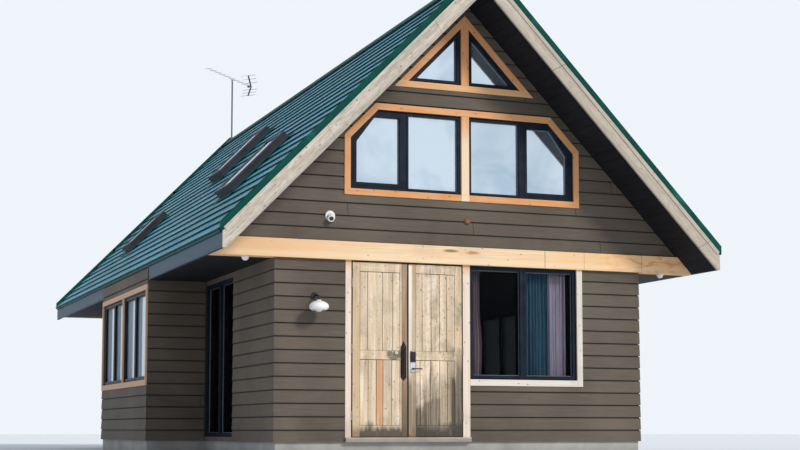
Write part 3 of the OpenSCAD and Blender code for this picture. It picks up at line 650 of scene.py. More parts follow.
# A paler band low on each course: a painted highlight, stronger on some sheets.
course_highlight = place.below(0.10, 0.62) * (0.35 + sheet_tone * 0.65)
roofing.ground(sheet_tone * 0.6, (0.010, 0.195, 0.265), (0.020, 0.280, 0.370))
roofing.stain(
    (course_highlight * 0.78, (0.115, 0.470, 0.610)),
    (dust.between(0.45, 0.75) * 0.25, (0.060, 0.300, 0.380)),
    (wash.between(0.5, 0.8) * 0.20, (0.200, 0.520, 0.620)),
    # Painted shade on the upper part of each course, under the next lip, and on the lip itself.
    (place.between(0.62, 0.92) * 0.85, (0.004, 0.050, 0.075)),
    (place < 0.05, (0.004, 0.040, 0.058)),
)
roofing.surface(0.36 + dust * 0.25, dust * 0.5 + wash * 0.3, 0.004)
roofing.cover("roofing_left", "roofing_right")

green_steel = Finish("deep_green_steel", shine=0.05)
streak = green_steel.noise(2.0, 5.0, 0.6)
_, square = slope_place(green_steel)
green_steel.ground(streak.between(0.35, 0.7), (0.003, 0.054, 0.040), (0.006, 0.084, 0.066))
green_steel.stain((streak.between(0.60, 0.75) * 0.4, (0.03, 0.20, 0.17)),
                  (square.below(-0.004, 0.030) * 0.65, (0.003, 0.045, 0.036)))
green_steel.surface(0.45 + streak * 0.25, streak, 0.003)
green_steel.cover("verge_caps", "ridge_cap")

WINDOW_WIDE = 0.780
EAVE_DRIP = (EDGE_X - EAVE_X) / RUN
OPENINGS = [
    (foot + EAVE_DRIP, foot + EAVE_DRIP + long, FRONT + back, FRONT + back + WINDOW_WIDE)
    for back, foot, long in ((1.800, 1.210, 1.180), (5.500, 2.400, 1.180), (8.500, 1.110, 0.900))]


def rod(radius, start, end, sides=8):
    """A round bar between two points."""
    clear_selection()
    start, end = Vector(start), Vector(end)
    bpy.ops.mesh.primitive_cylinder_add(
        vertices=sides, radius=radius, depth=(end - start).length, location=(start + end) / 2,
        rotation=(end - start).to_track_quat("Z", "Y").to_euler())
    settled()
    bpy.ops.object.shade_smooth_by_angle(angle=math.radians(50))
    return bpy.context.object


def bar(radius, x, y0, y1, z, sides=8):
    """A round bar that runs from front to back."""
    return rod(radius, (x, y0, z), (x, y1, z), sides)


lips = bar(0.0065, -0.003, -ROOF_END, ROOF_END, LIP - 0.0055)
up_slope(repeated(lips, COURSES, STEP, 0, 0))
seams = []
for odd in (0, 1):
    seam = eased(block(0.010, STEP - 0.012, -0.011, 0.011, -0.001, 0.0035), 0.002)
    turned(seam, TILT, (odd * STEP, -6.1 + odd * SHEET / 2, LIP), "Y")
    seams.append(repeated(repeated(seam, 7, 0, SHEET, 0), 11 - odd, 2 * STEP, 0, 0))
seams = up_slope(joined(seams))
right_side = [mirrored(lips), mirrored(seams)]
for piece in (lips, seams):
    cut_out(piece, *[up_slope(block(*opening, -0.3, 0.4)) for opening in OPENINGS])
finished([lips, seams], "course_lips_left", roofing)
finished(right_side, "course_lips_right", roofing)

# Ridge cap: its edges are rolled, and short straps cover the laps between its lengths.
cap_h = LIP + 0.0006 + 0.014
cap_x = SLOPE_L - RIDGE_LAP
cap_edge = bar(0.008, cap_x, -ROOF_END, ROOF_END, cap_h - 0.007)
strap = block(cap_x + 0.002, SLOPE_L - 0.012, -0.028, 0.028, cap_h - 0.001, cap_h + 0.0022)
turned(eased(strap, 0.001), 0, (0, -3 * SHEET, 0))
ridge_left = up_slope(joined([cap_edge, repeated(strap, 7, 0, SHEET, 0)]))
finished([ridge_left, mirrored(ridge_left)], "ridge_trim", green_steel)

# Drip edge: a green strip folded down over the top of the fascia, under the lowest course.
drip = up_slope(eased(block(-0.0035, -0.0005, -ROOF_END, ROOF_END, -0.045, LIP - 0.004), 0.001))
finished([drip, mirrored(drip)], "drip_edges", green_steel)

# Verge caps: a flange turned down over the barge board, a rolled top edge, and lapped collars.
CAP_Y, CAP_H = -6.676, 0.075
flange = eased(block(0.0, SLOPE_L + 0.05, CAP_Y, CAP_Y + 0.002, -0.028, 0.004), 0.0007)
roll_y, roll_z = CAP_Y + 0.005, CAP_H - 0.002
roll = rod(0.007, (0.0, roll_y, roll_z), (SLOPE_L + 0.1, roll_y, roll_z))
collar = eased(block(1.70, 1.745, CAP_Y - 0.002, CAP_Y + 0.080, 0.002, CAP_H + 0.002), 0.001)
verge = up_slope(joined([flange, roll, repeated(collar, 2, SHEET, 0, 0)]))
finished(on_each_verge(verge, EDGE_X), "verge_trim", green_steel)

# ------------------------ fascias
# Blue-grey painted steel boxes in the eaves beside the wings. The sheets meet in upright laps
# and are folded under at the foot.
fascia = Finish("blue_grey_steel", shine=0.15)
grime = fascia.noise((1.0, 1.2, 6.0), 5.0)
lap = (fascia.y / 1.21).fraction().within(0.5, 0.0016)
fascia.ground(grime.between(0.35, 0.7), (0.041, 0.078, 0.115), (0.060, 0.105, 0.150))
fascia.stain((fascia.z.below(2.63, 2.70) * 0.4, (0.050, 0.070, 0.095)),
             (lap, (0.015, 0.02, 0.03)))
fascia.surface(0.4 + grime * 0.2, grime * 0.4 - lap, 0.003)
fascia.cover("fascias")
hems = []
for y0, y1 in ((-VERGE_Y, FRONT + WING_Y0 - 0.02), (FRONT + WING_Y1 + 0.02, VERGE_Y)):
    hems.append(bar(0.007, -EAVE_X - 0.001, y0, y1, BEAM_Z + 0.009))
    hems.append(mirrored(hems[-1]))
finished(hems, "fascia_hems", fascia)

# ------------------------ door posts and sill
# Pale planed posts frame the doorway under the beam, with a stop behind the leaves and a sill on
# the base. Their upper ends are still orange. Iron butt hinges are screwed to the posts.
MEETING_X, DOORWAY_HALF = -0.860, 0.8155
HINGE_X = (-1.669, -0.051)
LEAF_Z, LEAF_H = 0.270, 2.336
HINGE_Z = [LEAF_Z + LEAF_H * share for share in (0.12, 0.5, 0.88)]


def iron_hinges(finish, roughness, height, smoother, depth):
    """Ends a timber finish, with iron on the hinges' knuckles, which stand proud of it."""
    low, middle, high = (finish.z.within(hinge_z, 0.061) for hinge_z in HINGE_Z)
    beside = finish.x.within(HINGE_X[0], 0.010) | finish.x.within(HINGE_X[1], 0.010)
    iron = (finish.y < FRONT - 0.0245) * (low | middle | high) * beside
    finish.stain((iron, (0.34, 0.32, 0.30)))
    finish.feed("Metallic", iron * 0.8)
    finish.surface(roughness - iron * smoother, height, depth)


post = Finish("pale_post_timber")
x, y, z = post.x, post.y, post.z
height = sawn_wood(post, post.vector(z, x, y), (0.88, 0.76, 0.65), (0.74, 0.59, 0.47), 0.6)
worn = post.noise(4.0, 4.0)
# The rebate behind the leaves is painted near black: painted shade.
rebate_shade = (y > FRONT - 0.010) * x.within(MEETING_X, DOORWAY_HALF) * (z > 0.262)
post.stain(
    (z.between(2.46, 2.60) * worn.between(0.3, 0.5) * 0.75, (0.72, 0.36, 0.15)),
    (z.below(0.30, 0.75) * worn.between(0.4, 0.65) * 0.6, (0.36, 0.32, 0.26)),
    (z.below(0.24, 0.27) * 0.8, (0.22, 0.19, 0.16)),
    (rebate_shade, (0.030, 0.022, 0.020)),
)
iron_hinges(post, 0.60 + worn * 0.2, height, 0.25, 0.0015)
post.cover("door_frame")

# ------------------------ door leaves
# Two framed leaves of weathered softwood. Stiles and three rails are joined round two panels of
# upright planks on each face; one plank is newer and orange, and the feet are stained grey.
LEAF_X, LEAF_W, STILE = (-1.663, -0.854), 0.797, 0.110
LEAF_FACE, LEAF_BACK = FRONT - 0.020, FRONT + 0.025
PANELS = ((LEAF_Z + 0.150, LEAF_Z + 1.035), (LEAF_Z + 1.155, LEAF_Z + LEAF_H - 0.120))
PANEL_MIDDLES, PANEL_HALF = (-1.2645, -0.4555), 0.2885


def doorway_weather(finish, strength=1.0):
    """Grey stains that rise from the foot and smears; over the right leaf a dark area rises highest
    at its hinges, partly painted shadow and partly stain.
    """
    x, y, z = finish.x, finish.y, finish.z
    runs = finish.noise((30.0, 8.0, 1.3), 4.0)
    blot = finish.noise(3.2, 4.0, 0.5)
    streak = finish.noise(1.0, 5.0, over=finish.vector(x * 17.0, y * 8.0, z * 1.1 + 5.0))
    specks = finish.noise((70.0, 20.0, 30.0))
    right = x.between(-0.95, -0.75)
    smear = blot.between(0.50, 0.66) * runs.between(0.34, 0.56)
    line = 0.60 + (x + 0.85).held() * 0.62 + (blot - 0.5) * 0.6 + (streak - 0.5) * 0.8
    spared = x.near(-0.31, 0.10).between(0.0, 0.35)
    # A tall dark area over the right leaf, rising towards its hinges: partly painted shadow, partly
    # stain.
    tall = (1 - ((z - line) / 0.42).held()) * right * (1 - spared * 0.45)
    ragged = z + (blot - 0.5) * 0.3 + (runs - 0.5) * 0.2
    foot = ragged.below(0.36, 0.46) * runs.between(0.12, 0.36)
    for share, colour in (
            (streak.between(0.46, 0.66) * 0.50, (0.50, 0.37, 0.24)),
            (streak.below(0.30, 0.46) * 0.50, (0.95, 0.84, 0.72)),
            (specks.between(0.60, 0.70) * (0.45 + right * 0.25), (0.24, 0.17, 0.10)),
            (smear * (0.45 + right * 0.35), (0.28, 0.23, 0.16)),
            (tall * (0.72 + runs.between(0.35, 0.60) * 0.26), (0.078, 0.066, 0.049)),
            (foot * 0.92, (0.045, 0.037, 0.030))):
        finish.stain((share * strength, colour))
    return runs


leaf = Finish("weathered_leaf")
x, y, z = leaf.x, leaf.y, leaf.z
middle = x.within(PANEL_MIDDLES[0], PANEL_HALF) | x.within(PANEL_MIDDLES[1], PANEL_HALF)
height_up = sawn_wood(leaf, leaf.vector(z, x, y), (0.80, 0.63, 0.43), (0.60, 0.43, 0.26), 0.9)
wood_up = leaf.skin
height_level = sawn_wood(leaf, leaf.vector(x, z, y), (0.84, 0.68, 0.49), (0.62, 0.46, 0.29), 0.6)
leaf.ground(middle, wood_up, leaf.skin)
runs = doorway_weather(leaf)
worn = leaf.noise(22.0)
left_stile = x.inside(-0.952, MEETING_X)
right_stile = x.inside(MEETING_X, -0.744)
patch = (x.near(-1.060, 0.135) * z.near(1.380, 0.110)).between(0.08, 0.30)
off_middle = abs(x - MEETING_X)
rail_joint = off_middle.within(0.6925, 0.0010) | off_middle.within(0.1160, 0.0010)
# Painted shade: the panel behind the planks, seen through their gaps, and the leaves' edges at the
# meeting and hinge gaps are painted dark.
gap_shade = middle * y.within(FRONT + 0.0025, 0.0215) | (off_middle < 0.012) | (off_middle > 0.795)
leaf.stain(
    ((x < -1.553) * 0.45, (0.56, 0.38, 0.22)),
    # The left leaf's inner stile is darker brown: its own tone with the meeting strip's shadow
    # painted over it, and darker still low down.
    (left_stile * (0.62 + runs.between(0.3, 0.6) * 0.30), (0.235, 0.140, 0.080)),
    (left_stile * z.below(0.55, 1.15) * 0.65, (0.085, 0.066, 0.050)),
    (right_stile * (0.40 + runs.between(0.3, 0.6) * 0.30), (0.36, 0.25, 0.15)),
    (patch * worn.between(0.24, 0.46) * 0.9, (0.13, 0.12, 0.075)),
    (patch * worn.between(0.6, 0.7), (0.80, 0.76, 0.66)),
    (rail_joint, (0.10, 0.08, 0.06)),
    (gap_shade, (0.045, 0.030, 0.022)),
)
height = height_up * (1 - middle) + height_level * middle - rail_joint - patch * 0.3
iron_hinges(leaf, 0.68 + runs * 0.2, height, 0.3, 0.002)
leaf.cover("door_left", "door_right")


def board_wood(name, pale, deep, knots=0.8):
    """Softwood whose grain follows each board; every board has its own tone."""
    finish = Finish(name, shine=0.3)
    grain = finish.add("ShaderNodeAttribute", {"attribute_name": "grain"})[1]
    number = (finish.parts(grain)[0] / 5.0 + 0.2).floor()
    height = sawn_wood(finish, grain, pale, deep, knots)
    finish.stain(
        (finish.random(number) * 0.50, tuple(c * 0.86 for c in deep)),
        (finish.random(number + 300.0).between(0.5, 1.0) * 0.35,
         (pale[0], pale[1] * 0.90, pale[2] * 0.86)),
    )
    return finish, height


def plank(length, wide, thick, number, *place):
    """A planed board along x, its face at y and its width up z, with its own run of grain."""
    piece = eased(block(0, length, 0, thick, 0, wide), 0.003, 2)
    grain = piece.data.attributes.new("grain", "FLOAT_VECTOR", "POINT")
    shift = Vector((number * 5.0, number * 1.37, number * 0.71))
    for vertex, stored in zip(piece.data.vertices, grain.data):
        stored.vector = vertex.co.xzy + shift
    return turned(piece, 0, place) if place else piece


def upright(length, wide, thick, number, *place):
    """A planed board stood on its end, its width to the right, with its foot at a place."""
    piece = plank(length, wide, thick, number)
    piece.data.transform(Matrix.Translation(place) @ Matrix(
        ((0, 0, 1, 0), (0, 1, 0, 0), (1, 0, 0, 0), (0, 0, 0, 1))))
    piece.data.flip_normals()
    return piece


door_planks, height = board_wood("weathered_planks", (0.95, 0.80, 0.61), (0.68, 0.52, 0.35), 1.0)
x, z = door_planks.x, door_planks.z
grey_plank = x.inside(-1.2203, -1.0946) * (z < 1.310)
door_planks.stain((grey_plank * (0.20 + z.between(0.60, 1.10) * 0.35), (0.36, 0.33, 0.26)))
door_planks.surface(0.70 + doorway_weather(door_planks) * 0.2, height, 0.002)
newer, height = board_wood("newer_plank", (0.80, 0.47, 0.26), (0.62, 0.31, 0.14), 0.5)
newer.surface(0.6 + doorway_weather(newer, 0.7) * 0.2, height, 0.002)

PLANK_WIDTHS = {
    (0, 0): (8.0, 8.0, 6.5, 8.5, 8.0), (0, 1): (7.5, 14.5, 10.0, 7.0),
    (1, 0): (4.0, 10.0, 8.5, 7.5, 7.0), (1, 1): (6.0, 8.5, 8.0, 6.5, 8.0),
}
NEWER_PLANK = (0, 0, 2)
GAP = 0.006
number = 1
for side, body, piece_name in ((0, "left_leaf", "planks_left"), (1, "right_leaf", "planks_right")):
    common, orange = [], []
    for row, (low, high) in enumerate(PANELS):
        shares = PLANK_WIDTHS[side, row]
        x = LEAF_X[side] + STILE
        for i, share in enumerate(shares):
            wide = (LEAF_W - 2 * STILE) * share / sum(shares)
            for y in (LEAF_FACE + 0.0018, LEAF_BACK - 0.0098):
                piece = upright(high - low - 0.010, wide - GAP, 0.008, number,
                                x + GAP / 2, y, low + 0.002)
                (orange if (side, row, i) == NEWER_PLANK else common).append(piece)
            number += 1
            x += wide
    finished(common, piece_name, door_planks, body)
    if orange:
        finished(orange, "newer_plank", newer, body)

# Meeting strip: a bleached batten nailed to the right leaf's free edge, notched for the lock.
batten = upright(2.300, 0.046, 0.010, 60, -0.853, LEAF_FACE - 0.010, 0.290)
cut_out(batten, block(-0.832, -0.70, -7, -5, 1.125, 1.425))
strip_wood, height = board_wood("meeting_strip", (0.98, 0.88, 0.77), (0.92, 0.78, 0.65), 0.4)
low_part = strip_wood.z.below(1.85, 2.10)
strip_wood.stain((low_part * 0.30, (0.54, 0.48, 0.46)),
                 (strip_wood.z.below(0.95, 1.20) * 0.94, (0.25, 0.205, 0.130)))
strip_wood.surface(0.65 + low_part * 0.2, height, 0.0015)
finished([batten], "meeting_strip", strip_wood, "right_leaf")


# ------------------------ pull plate, lock and lever
# A long iron pull plate with a bowed grip and an old knob beside it on the left leaf. The right
# leaf has a keypad over a steel plate, and a lever that turns on its spindle.
def mottled(name, scale, detail, spread, a, b, rough, depth=None, **fixed):
    """A finish in blotches between two close tones, which change its roughness too."""
    finish = Finish(name, **fixed)
    blotch = finish.noise(scale, detail)
    finish.ground(blotch.between(*spread) if spread else blotch, a, b)
    finish.surface(rough[0] + blotch * rough[1], blotch if depth else None, depth)
    return finish


PULL_X, PULL_HALF = -0.925, 0.041
pull_iron = mottled("dark_iron", 30.0, 4.0, (0.4, 0.7), (0.014, 0.011, 0.013),
                    (0.036, 0.028, 0.032), (0.42, 0.25), 0.0008, Metallic=0.3, shine=0.2)
pull_iron.stain((pull_iron.x < -0.995, (0.55, 0.52, 0.44)))
pull_iron.cover("pull_plate")
left, right = PULL_X - PULL_HALF, PULL_X + PULL_HALF
back = outline_block([(PULL_X, 1.020), (right, 1.062), (right, 1.480), (PULL_X, 1.560),
                      (left, 1.480), (left, 1.062)], LEAF_FACE - 0.0035, LEAF_FACE + 0.001)
plate = [eased(back, 0.0012, 2)]
for x, z in ((-0.030, 1.075), (0.030, 1.075), (-0.030, 1.465), (0.030, 1.465)):
    screw = bar(0.0055, PULL_X + x, LEAF_FACE - 0.0055, LEAF_FACE - 0.003, z, 16)
    plate.append(eased(screw, 0.001, 2))
finished(plate, "pull_backplate", pull_iron, "left_leaf")

CASE_X, CASE_FACE = -0.792, FRONT - 0.044
lock_case = mottled("lock_case", 45.0, 3.0, (0.45, 0.7), (0.005, 0.008, 0.010),
                    (0.014, 0.018, 0.021), (0.30, 0.15), 0.0003, shine=0.2)
steel_part = lock_case.z < 1.275
lock_case.stain((steel_part, (0.62, 0.62, 0.66)))
lock_case.feed("Metallic", steel_part * 0.9)
lock_case.cover("keypad_lock")
bezel = block(CASE_X - 0.031, CASE_X + 0.031, CASE_FACE - 0.0015, CASE_FACE + 0.001, 1.282, 1.408)
keys = block(CASE_X - 0.0255, CASE_X - 0.0115, CASE_FACE - 0.0045, CASE_FACE - 0.001, 1.292, 1.303)
keys = repeated(repeated(eased(keys, 0.0014, 2), 3, 0.0185, 0, 0), 4, 0, 0, 0.0165)
rubber = Finish("keypad_rubber", shine=0.2)
rubber.ground(rubber.noise(90.0), (0.018, 0.018, 0.020), (0.040, 0.040, 0.044))
rubber.surface(0.55 + rubber.noise(60.0) * 0.2)
finished([eased(bezel, 0.0012, 2), keys], "keypad_buttons", rubber, "right_leaf")

lever_steel = mottled("lever_steel", (40.0, 400.0, 400.0), 3.0, None, (0.020, 0.020, 0.022),
                      (0.050, 0.050, 0.054), (0.28, 0.2), 0.0002, Metallic=0.5, shine=0.3)
lever_steel.cover("door_lever")

# ------------------------ window frames and sashes
# Every window has a dark aluminium frame. Sashes stand proud of it, and a thin lighter bead
# holds the double glass in each light. The outer lights of the gable window open.
FRAME_EDGE, FRAME_POST = 0.057, 0.100
REAR_HALF, LOW_SILL, UNIT_W, FRONT_TALL, REAR_TALL = 0.830, 1.055, 1.660, 1.575, 1.487
SIDE_UNITS = ((EAVE_X, 3.770, 5.420, 1.120, WING_HEAD), (EAVE_X, 5.500, 7.150, 1.120, WING_HEAD),
              (HALF_W, PORCH_Y0, WING_Y0, PORCH_Z0, PORCH_Z1))
frame_metal = mottled("dark_window_metal", 6.0, 4.0, (0.35, 0.7), (0.005, 0.009, 0.018),
                      (0.012, 0.020, 0.034), (0.35, 0.2), 0.0006, shine=0.12)
frame_metal.cover("front_window_frames", "side_window_frames", "rear_window_frames")
bead_metal = mottled("glazing_bead", 12.0, 3.0, None, (0.10, 0.12, 0.15), (0.22, 0.25, 0.30),
                     (0.35, 0.2), Metallic=0.5)
sashes, beads = [], []


def ring(outline, inside, y0, y1, bevel):
    """A closed frame inside an outline."""
    piece = outline_block(outline, y0, y1)
    cut_out(piece, outline_block(grown(outline, -inside), y0 - 0.1, y1 + 0.1))
    return eased(piece, bevel)


def oblong(x0, x1, z0, z1):
    return [(x0, z0), (x1, z0), (x1, z1), (x0, z1)]


def glazed(light, wide, wall_y=FRONT, degrees=0, move=(0, 0, 0)):
    """Gives a light its sash and its bead, then turns them to face out of their own wall."""
    tooth, pane = wall_y + 0.012, wall_y + 0.057
    sash = ring(grown(light, wide), wide, tooth - 0.006, tooth + 0.0005, 0.002)
    sashes.append(turned(sash, degrees, move))
    beads.append(turned(ring(light, 0.008, pane - 0.014, pane - 0.0005, 0.001), degrees, move))


def glazed_unit(x0, z0, wide, tall, *turn):
    """The two lights of a unit, side by side."""
    light_w = (wide - 2 * FRAME_EDGE - FRAME_POST) / 2
    for a in (x0 + FRAME_EDGE, x0 + wide - FRAME_EDGE - light_w):
        glazed(oblong(a, a + light_w, z0 + FRAME_EDGE, z0 + tall - FRAME_EDGE), 0.040, *turn)


# The left half of a gable: its outer and middle lights, and the one under the peak.
glazed([(-1.5953, 3.700), (-0.9683, 3.700), (-0.9683, 4.615), (-1.3302, 4.615), (-1.5953, 4.260)],
       0.046)
glazed(oblong(-0.8383, -0.1025, 3.650, 4.665), 0.030)
glazed([(-0.7144, 5.203), (-0.1145, 5.203), (-0.1145, 5.8177)], 0.040)
for made in (sashes, beads):
    made += [mirrored(piece) for piece in made]
    made += [turned(copied(piece), 180) for piece in made]
glazed_unit(WINDOW_X0, LOW_SILL, UNIT_W, FRONT_TALL)
for middle_x in (-REAR_MID, REAR_MID):
    glazed_unit(middle_x - REAR_HALF, LOW_SILL, UNIT_W, REAR_TALL, FRONT, 180)
for side, degrees in SIDES:
    for out, y0, y1, z0, z1 in SIDE_UNITS:
        u0, u1 = side_span(side, y0, y1)
        glazed_unit(u0, z0, u1 - u0, z1 - z0, 0, degrees, (side * out, 0, 0))
finished(sashes, "window_sashes", frame_metal)
finished(beads, "glazing_beads", bead_metal)


# ------------------------ trim round the windows
# Softwood boards frame each opening over the siding, mitred at the corners, and thick mullions
# divide the gable windows. Most are still orange; those low on the front have bleached.
def trim_ring(outline, number):
    """Mitred boards laid round the outside of an outline."""
    outer = grown(outline, TRIM_W)
    spare = TRIM_W * 2.6
    made = []
    for i, a in enumerate(outline):
        b, outer_a, outer_b = outline[i + 1 - len(outline)], outer[i], outer[i + 1 - len(outline)]
        piece = plank(math.dist(a, b) + 2 * spare, TRIM_W, FRONT - TRIM_FACE, number + i,
                      -spare, 0, 0)
        angle = math.degrees(math.atan2(a[1] - b[1], a[0] - b[0]))
        turned(piece, -angle, (b[0], TRIM_FACE, b[1]), "Y")
        for corner, far, inside in ((a, outer_a, b), (b, outer_b, a)):
            normal = Vector((far[1] - corner[1], 0, corner[0] - far[0])).normalized()
            if normal.dot(Vector((inside[0] - corner[0], 0, inside[1] - corner[1]))) > 0:
                normal = -normal
            sliced(piece, Vector((corner[0], 0, corner[1])) - normal * 0.0006, normal)
        made.append(piece)
    return made


TRIM_FACE, TRIM_THICK, MULLION, MULLION_THICK = FRONT - 0.026, 0.026, 0.115, 0.156
orange_trim, height = board_wood("orange_trim", (0.86, 0.44, 0.195), (0.64, 0.27, 0.10), 0.7)
x, z = orange_trim.x, orange_trim.z
sun = orange_trim.noise(1.7)
centre = (abs(x) < 0.058) * z.inside(3.500, 4.800)
orange_trim.stain(
    (sun.between(0.45, 0.7) * 0.30, (0.86, 0.58, 0.35)),
    ((abs(x) > 3.60) * 0.6, (0.62, 0.46, 0.34)),
    (z.within(5.100, 0.050) * 0.35, (0.90, 0.62, 0.34)),
    (centre * z.below(4.30, 4.70) * 0.75, (0.93, 0.76, 0.56)),
)
orange_trim.surface(0.6 + sun * 0.2, height, 0.002)
grey_trim, height = board_wood("bleached_trim", (0.88, 0.83, 0.75), (0.70, 0.62, 0.52), 0.7)
sun = grey_trim.noise(3.0, 4.0)
grey_trim.stain((sun.between(0.5, 0.7) * 0.4, (0.42, 0.38, 0.32)))
grey_trim.surface(0.65 + sun * 0.2, height, 0.002)

gable_boards = trim_ring(hexagon, 100) + trim_ring(triangle, 110)
gable_boards.append(
    upright(HEX_H - 0.002, MULLION, MULLION_THICK, 120, -MULLION / 2, TRIM_FACE, HEX_Z + 0.001))
peak_post = upright(
    TRI_HALF * SLOPE, MULLION, MULLION_THICK, 121, -MULLION / 2, TRIM_FACE, TRI_Z + 0.001)
for side in (-1, 1):
    sliced(peak_post, (side * TRI_HALF, 0, TRI_Z - 0.001), (side * RISE, 0, RUN))
gable_boards.append(peak_post)
rear_boards = [turned(copied(piece), 180) for piece in gable_boards]
finished(gable_boards, "gable_trim_front", orange_trim, node="front_window_trim")
sill = plank(UNIT_W, TRIM_W, TRIM_THICK, 130, WINDOW_X0, TRIM_FACE, SILL_Z)
jamb = upright(1.6625, TRIM_W, TRIM_THICK, 131, 1.723, TRIM_FACE, SILL_Z)
finished([sill, jamb], "window_trim_front", grey_trim, node="front_window_trim")
for number, middle_x in ((140, -REAR_MID), (150, REAR_MID)):
    edge = oblong(middle_x - REAR_HALF, middle_x + REAR_HALF, LOW_SILL, LOW_SILL + REAR_TALL)
    rear_boards += [turned(piece, 180) for piece in trim_ring(edge, number)]
finished(rear_boards, "window_trim_rear", orange_trim, node="rear_window_trim")
wing_boards = []
for side, degrees in SIDES:
    u0, u1 = side_span(side, WING_Y0, WING_Y1)
    rows = [plank(u1 - u0, wide, TRIM_THICK, number, u0, -TRIM_THICK, z0)
            for z0, wide, number in ((WING_SILL, TRIM_W, 160), (WING_HEAD, 0.080, 161))]
    rows += [upright(1.369, wide, TRIM_THICK, number, u, -TRIM_THICK, 1.1205)
             for u, wide, number in ((u0, 0.060, 162), ((u0 + u1) / 2 - 0.040, 0.080, 163),
                                     (u1 - 0.060, 0.060, 164))]
    wing_boards += [turned(piece, degrees, (side * EAVE_X, 0, 0)) for piece in rows]
finished(wing_boards, "window_trim_wings", orange_trim, node="wing_window_trim")

# ------------------------ glass
# Sealed double glass. The gable panes mirror the pale surround through a mottled pale blue tint, a
# painted reflection; the low rear panes nearly so, and the wing panes are mostly this painted
# reflection, with a little mirror. The panes at the doors look dark, a thin near black tint
# painting the dark inside on them, and show the curtains behind them.
glass = Finish("double_glass", shine=0.08)
wing = abs(glass.x).between(3.50, 3.55)
# The mirror share also lays on the pale blue painted reflection; the wing panes get it as colour,
# and the other panes a near black tint, painted shade of the dark inside.
mirror = glass.z.between(3.2, 3.4) | ((glass.y > 0) * (1 - wing) * 0.8)
painted_sky_mottle = glass.noise(1.1, 3.0, 0.6)
painted_sky = glass.mix(painted_sky_mottle.between(0.38, 0.62), (0.48, 0.60, 0.71), (0.74, 0.84, 0.92))
glass.ground(mirror, (0.003, 0.004, 0.006), painted_sky)
glass.stain((wing, (0.66, 0.76, 0.84)))
glass.feed("Metallic", mirror * 0.9 + wing * 0.35)
glass.feed("Alpha", (0.20 + mirror * 0.74 + wing * 0.72).held())
glass.surface(0.02, glass.noise(0.9, 1.0), 0.0008, 0.3)
glass.cover("window_glass")

# ------------------------ roof windows
# Three roof windows stand on tall sheet metal curbs on the left slope, with flashings dressed
# over the courses round them and a pressed metal cover round each pane.
CURB_H = 0.150
curb = mottled("curb_metal", 4.0, 5.0, (0.35, 0.7), (0.012, 0.012, 0.021), (0.030, 0.029, 0.044),
               (0.38, 0.2), 0.001, shine=0.2)
_, square = slope_place(curb)
# Near its foot the curb is painted dark green: painted shade at the foot.
curb.stain((square.below(0.03, 0.085) * 0.85, (0.010, 0.060, 0.050)),
           (square.between(0.125, 0.145) * 0.5, (0.09, 0.09, 0.12)))
curb.cover("roof_windows")
covers, aprons = [], []
for x0, x1, y0, y1 in OPENINGS:
    cover = block(x0 - 0.004, x1 + 0.004, y0 - 0.004, y1 + 0.004, CURB_H - 0.020, CURB_H + 0.004)
    cut_out(eased(cover, 0.004, 2), block(x0 + 0.062, x1 - 0.062, y0 + 0.062, y1 - 0.062, 0, 1),
            block(x0 - 0.0002, x1 + 0.0002, y0 - 0.0002, y1 + 0.0002, -1, CURB_H + 0.0002))
    covers.append(up_slope(cover))
    apron = block(x0 - 0.130, x1 + 0.090, y0 - 0.085, y1 + 0.085, 0.033, 0.0365)
    aprons.append(up_slope(cut_out(eased(apron, 0.0012), block(x0, x1, y0, y1, -1, 1))))
finished(covers, "roof_window_covers", curb)
finished(aprons, "roof_window_flashings", green_steel)
mottled("roof_glass", 2.0, 4.0, None, (0.20, 0.27, 0.34), (0.40, 0.49, 0.57), (0.05, 0.15),
        Metallic=0.6).cover("roof_window_glass")


# ------------------------ wall lamp
# A white enamelled shade with an opal globe in it hangs from a bent iron arm on a round plate,
# to the left of the doors.
def ball(centre, segments, rings, radius=1, scale=(1, 1, 1)):
    """A round piece with even sides."""
    clear_selection()
    bpy.ops.mesh.primitive_uv_sphere_add(
        segments=segments, ring_count=rings, radius=radius, location=centre, scale=scale)
    settled()
    bpy.ops.object.shade_smooth()
    return bpy.context.object


LAMP_X, LAMP_Y, LAMP_Z = -2.195, FRONT - 0.215, 2.130
SHADE_Z, SHADE_FOOT = 1.975, 1.928
shade = ball((LAMP_X, LAMP_Y, SHADE_Z), 48, 32, scale=(0.1315, 0.1315, 0.078))
chosen(sliced(shade, (0, 0, SHADE_FOOT), (0, 0, -1)))
for face in shade.data.polygons:
    face.select = face.normal.z < -0.999 and face.center.z < SHADE_FOOT + 0.002
bpy.ops.object.mode_set(mode="EDIT")
bpy.ops.mesh.select_mode(type="FACE")
bpy.ops.mesh.delete(type="FACE")
bpy.ops.object.mode_set(mode="OBJECT")
modified(shade, "SOLIDIFY", thickness=0.003, offset=-1)
bpy.ops.object.shade_smooth_by_angle(angle=math.radians(60))
neck = eased(rod(0.030, (LAMP_X, LAMP_Y, 2.046), (LAMP_X, LAMP_Y, 2.062), 32), 0.004, 3)
enamel = mottled("white_enamel", 26.0, 4.0, (0.45, 0.75), (0.95, 0.94, 0.92), (0.855, 0.84, 0.81),
                 (0.22, 0.2), 0.0004, Coat_Weight=0.5, Coat_Roughness=0.1)
finished([shade, neck], "lamp_shade", enamel, node="wall_lamp")
globe = ball((LAMP_X, LAMP_Y, 1.962), 32, 20, scale=(0.062, 0.062, 0.060))
opal = mottled("opal_glass", 20.0, 3.0, None, (0.80, 0.79, 0.76), (0.88, 0.87, 0.85), (0.15, 0.1),
               Coat_Weight=0.4, Coat_Roughness=0.05)
finished([globe], "lamp_globe", opal, node="wall_lamp")

